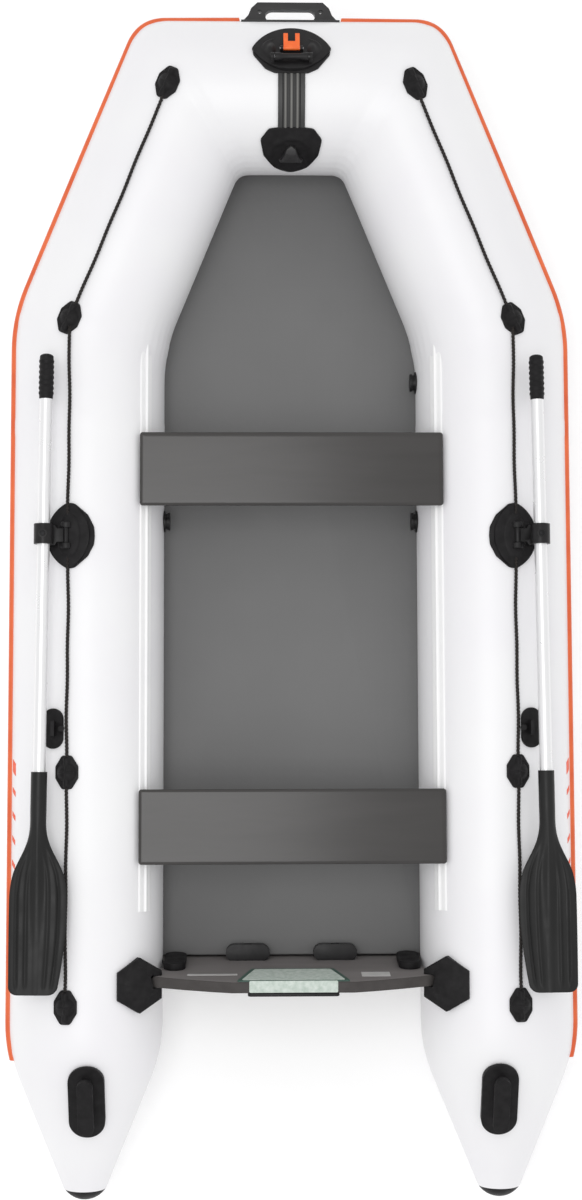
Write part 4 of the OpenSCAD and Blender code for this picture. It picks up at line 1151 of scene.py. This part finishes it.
# %% Grips
def turned(runs, radii, sides=48):
    """A profile of radius against distance aft of the oar's end, turned round its axis."""
    a = np.linspace(0, 2 * math.pi, sides, endpoint=False)[None, :]
    return on_oar(radii[:, None] * np.cos(a), runs[:, None], radii[:, None] * np.sin(a))


def grip_rings():
    """Seven ribs between a domed end and a short straight cuff."""
    runs = np.linspace(0, GRIP_LONG, 240)
    rib = 1.9 * MM * np.abs(np.sin((runs - 14 * MM) * math.pi / (14.5 * MM))) ** 1.5
    rib = rib * soft_step(runs, 14 * MM, 1 * MM) * soft_step(-runs, -112 * MM, 1 * MM)
    end = np.sqrt(1 - np.clip(1 - runs / (9 * MM), 0, 1) ** 2)
    tail = np.sqrt(1 - np.clip(1 - (GRIP_LONG - runs) / (3 * MM), 0, 1) ** 2)
    return turned(runs, (18.6 * MM + rib) * np.maximum(end, 0.05) * np.maximum(tail, 0.93))


for _side, _port in SIDES:
    surface(f"{_side}_grip", grip_rings(), black_rubber, f"{_side}_oar",
            [f"{_side}_oar_grip"], port=_port, sharp=60)
print("grips made")

# %% [markdown]
# ## Moulded fittings with worked edges
# The other fittings already have their exact shape, with bores and pins that must stay.
# A moulding has no knife edges, so each gets a copy of its mesh with the triangles of
# flat faces joined and every sharp edge rounded by about a millimetre.

# %% Softening
def softened(node, body, finish, width, sharp=32):
    """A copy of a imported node, merged, with flat faces joined and its edges bevelled."""
    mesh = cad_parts[node].data.copy()
    mesh.name = f"{node}_moulding"
    mesh.materials.clear()
    piece = finished(f"{node}_moulding", mesh, finish, body, [node], sharp)
    bpy.context.view_layer.objects.active = piece
    weld = piece.modifiers.new("weld", "WELD")
    weld.merge_threshold = 0.00002
    flat = piece.modifiers.new("flat", "DECIMATE")
    flat.decimate_type = "DISSOLVE"
    flat.angle_limit = math.radians(1.5)
    edge = piece.modifiers.new("edge", "BEVEL")
    edge.width = width
    edge.segments = 3
    edge.limit_method = "ANGLE"
    edge.angle_limit = math.radians(sharp)


mouldings = [
    ("bow_handle", "hull", grey_rubber_and_boss_highlight, 4), ("fairlead_base", "hull", black_nylon, 1.5),
    ("fairlead_roller", "fairlead_roller", black_nylon, 1),
    ("rope_latch", "rope_latch", orange_nylon, 1.2), ("stern_handles", "hull", black_rubber, 2),
    ("transom_knees", "hull", black_rubber, 6), ("drain_housings", "hull", black_nylon, 4),
    ("oar_holders", "hull", black_rubber, 2), ("cone_caps", "hull", black_rubber, 1),
    ("valve_bodies", "hull", black_nylon, 0.8),
    ("front_thwart_shoes", "front_thwart", black_nylon, 1.5),
    ("rear_thwart_shoes", "rear_thwart", black_nylon, 1.5)]
for _side, _port in SIDES:
    mouldings += [(f"{_side}_oarlock_base", "hull", black_rubber, 1.5),
                  (f"{_side}_oarlock_arm", f"{_side}_oarlock_arm", black_nylon, 1.2),
                  (f"{_side}_oar_collar", f"{_side}_oar", black_nylon, 3),
                  (f"{_side}_collar_bolt", f"{_side}_oarlock_arm", blackened, 0.6),
                  (f"{_side}_drain_plug", f"{_side}_drain_plug", black_nylon, 1)]
for _valve in ("port", "starboard", "bow", "floor"):
    mouldings.append((f"{_valve}_valve_cap", f"{_valve}_valve_cap", black_nylon, 1))
for _node, _body, _finish, _width in mouldings:
    softened(_node, _body, _finish, _width * MM)
print("mouldings softened")

# %% [markdown]
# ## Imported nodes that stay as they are
# Shafts, pins, plungers, bulkheads, the keel and the bottom have the right shape already.
# They only need their finish.

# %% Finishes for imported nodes
kept = {"port_oar_shaft": shaft_metal, "starboard_oar_shaft": shaft_metal, "hinge_pins": steel,
        "keel_tube": bottom_pvc, "hull_bottom": bottom_pvc, "chamber_bulkheads": baffle,
        "port_valve_plunger": black_nylon, "starboard_valve_plunger": black_nylon,
        "bow_valve_plunger": black_nylon, "floor_valve_plunger": black_nylon}
for _node, _finish in kept.items():
    _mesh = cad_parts[_node].data
    _mesh.materials.clear()
    _mesh.materials.append(_finish)
print(len(kept), "packed nodes given a finish")

# %% [markdown]
# ## Side marks
# The makers print their sign along the outer side of each tube. In its place stands a plain
# row of slanted orange bars: thin patches that follow the skin, just above the strake.

# %% Side marks
def slanted_bar(at, low_angle, high_angle, long, lean):
    """A patch of film on the side tube between two angles from the crown."""
    a = np.radians(np.linspace(low_angle, high_angle, 12))
    y = np.linspace(-long / 2, long / 2, 8)
    edge_a = np.concatenate([a, np.full(len(y), a[-1]), a[::-1], np.full(len(y), a[0])])
    edge_y = np.concatenate([np.full(len(a), y[0]), y, np.full(len(a), y[-1]), y[::-1]])
    mid = a.mean()
    rows = []
    for scale, lift in ((0.5, -0.3), (1, -0.3), (1, 0.6), (0.96, 0.8), (0.5, 0.8), (0.1, 0.8)):
        ra = mid + (edge_a - mid) * scale
        ry = at + edge_y * scale + lean * (ra - mid)
        r = TUBE_R + lift * MM
        rows.append(np.stack([TUBE_X + r * np.sin(ra), ry, TUBE_R + r * np.cos(ra)], -1))
    return np.array(rows)


MARKS = 9
MARK_STEP = 66 * MM
for _side, _port in SIDES:
    for _k in range(MARKS):
        _long = 14 * MM if _k else 34 * MM
        _bar = slanted_bar(aft(2.10 + MARK_STEP * _k), 64, 77, _long, 0.10)
        surface(f"{_side}_side_mark_{_k}", _bar, mark_film, "hull", port=_port, sharp=60)
print("side marks made")

# %% [markdown]
# ## Studio
# A pale floor and soft light from all round, with one large panel high to port that puts
# a gentle slope of light on the boards and tubes.

# %% Floor and light
STAGE_HALF = 30
stage_corners = [(x * STAGE_HALF, y * STAGE_HALF, 0)
                 for x, y in ((-1, -1), (1, -1), (1, 1), (-1, 1))]
stage_mesh = bpy.data.meshes.new("studio_floor")
stage_mesh.from_pydata(stage_corners, [], [(0, 1, 2, 3)])
stage_finish, _shader = start("studio_floor_paint", "hull_pvc", "#FCFCFC", Roughness=0.9,
                               Emission_Color=(1, 1, 1, 1), Emission_Strength=0.12)
stage_mesh.materials.append(stage_finish)
studio_floor = bpy.data.objects.new("studio_floor", stage_mesh)
bpy.context.scene.collection.objects.link(studio_floor)
world = bpy.data.worlds.new("studio")
bpy.context.scene.world = world
world.use_nodes = True
world.node_tree.nodes["Background"].inputs["Color"].default_value = (1, 1, 1, 1)
world.node_tree.nodes["Background"].inputs["Strength"].default_value = 0.83
bpy.context.scene.view_settings.view_transform = "Standard"


def soft_panel(name, place, size, power):
    """A rectangular area light that lies flat at a place and shines straight down."""
    data = bpy.data.lights.new(name, "AREA")
    data.shape = "RECTANGLE"
    data.size, data.size_y = size
    data.energy = power
    lamp = bpy.data.objects.new(name, data)
    bpy.context.scene.collection.objects.link(lamp)
    lamp.location = place


soft_panel("port_panel", (-0.95, -0.6, 6.2), (2.5, 4.6), 90)
print("studio lit")
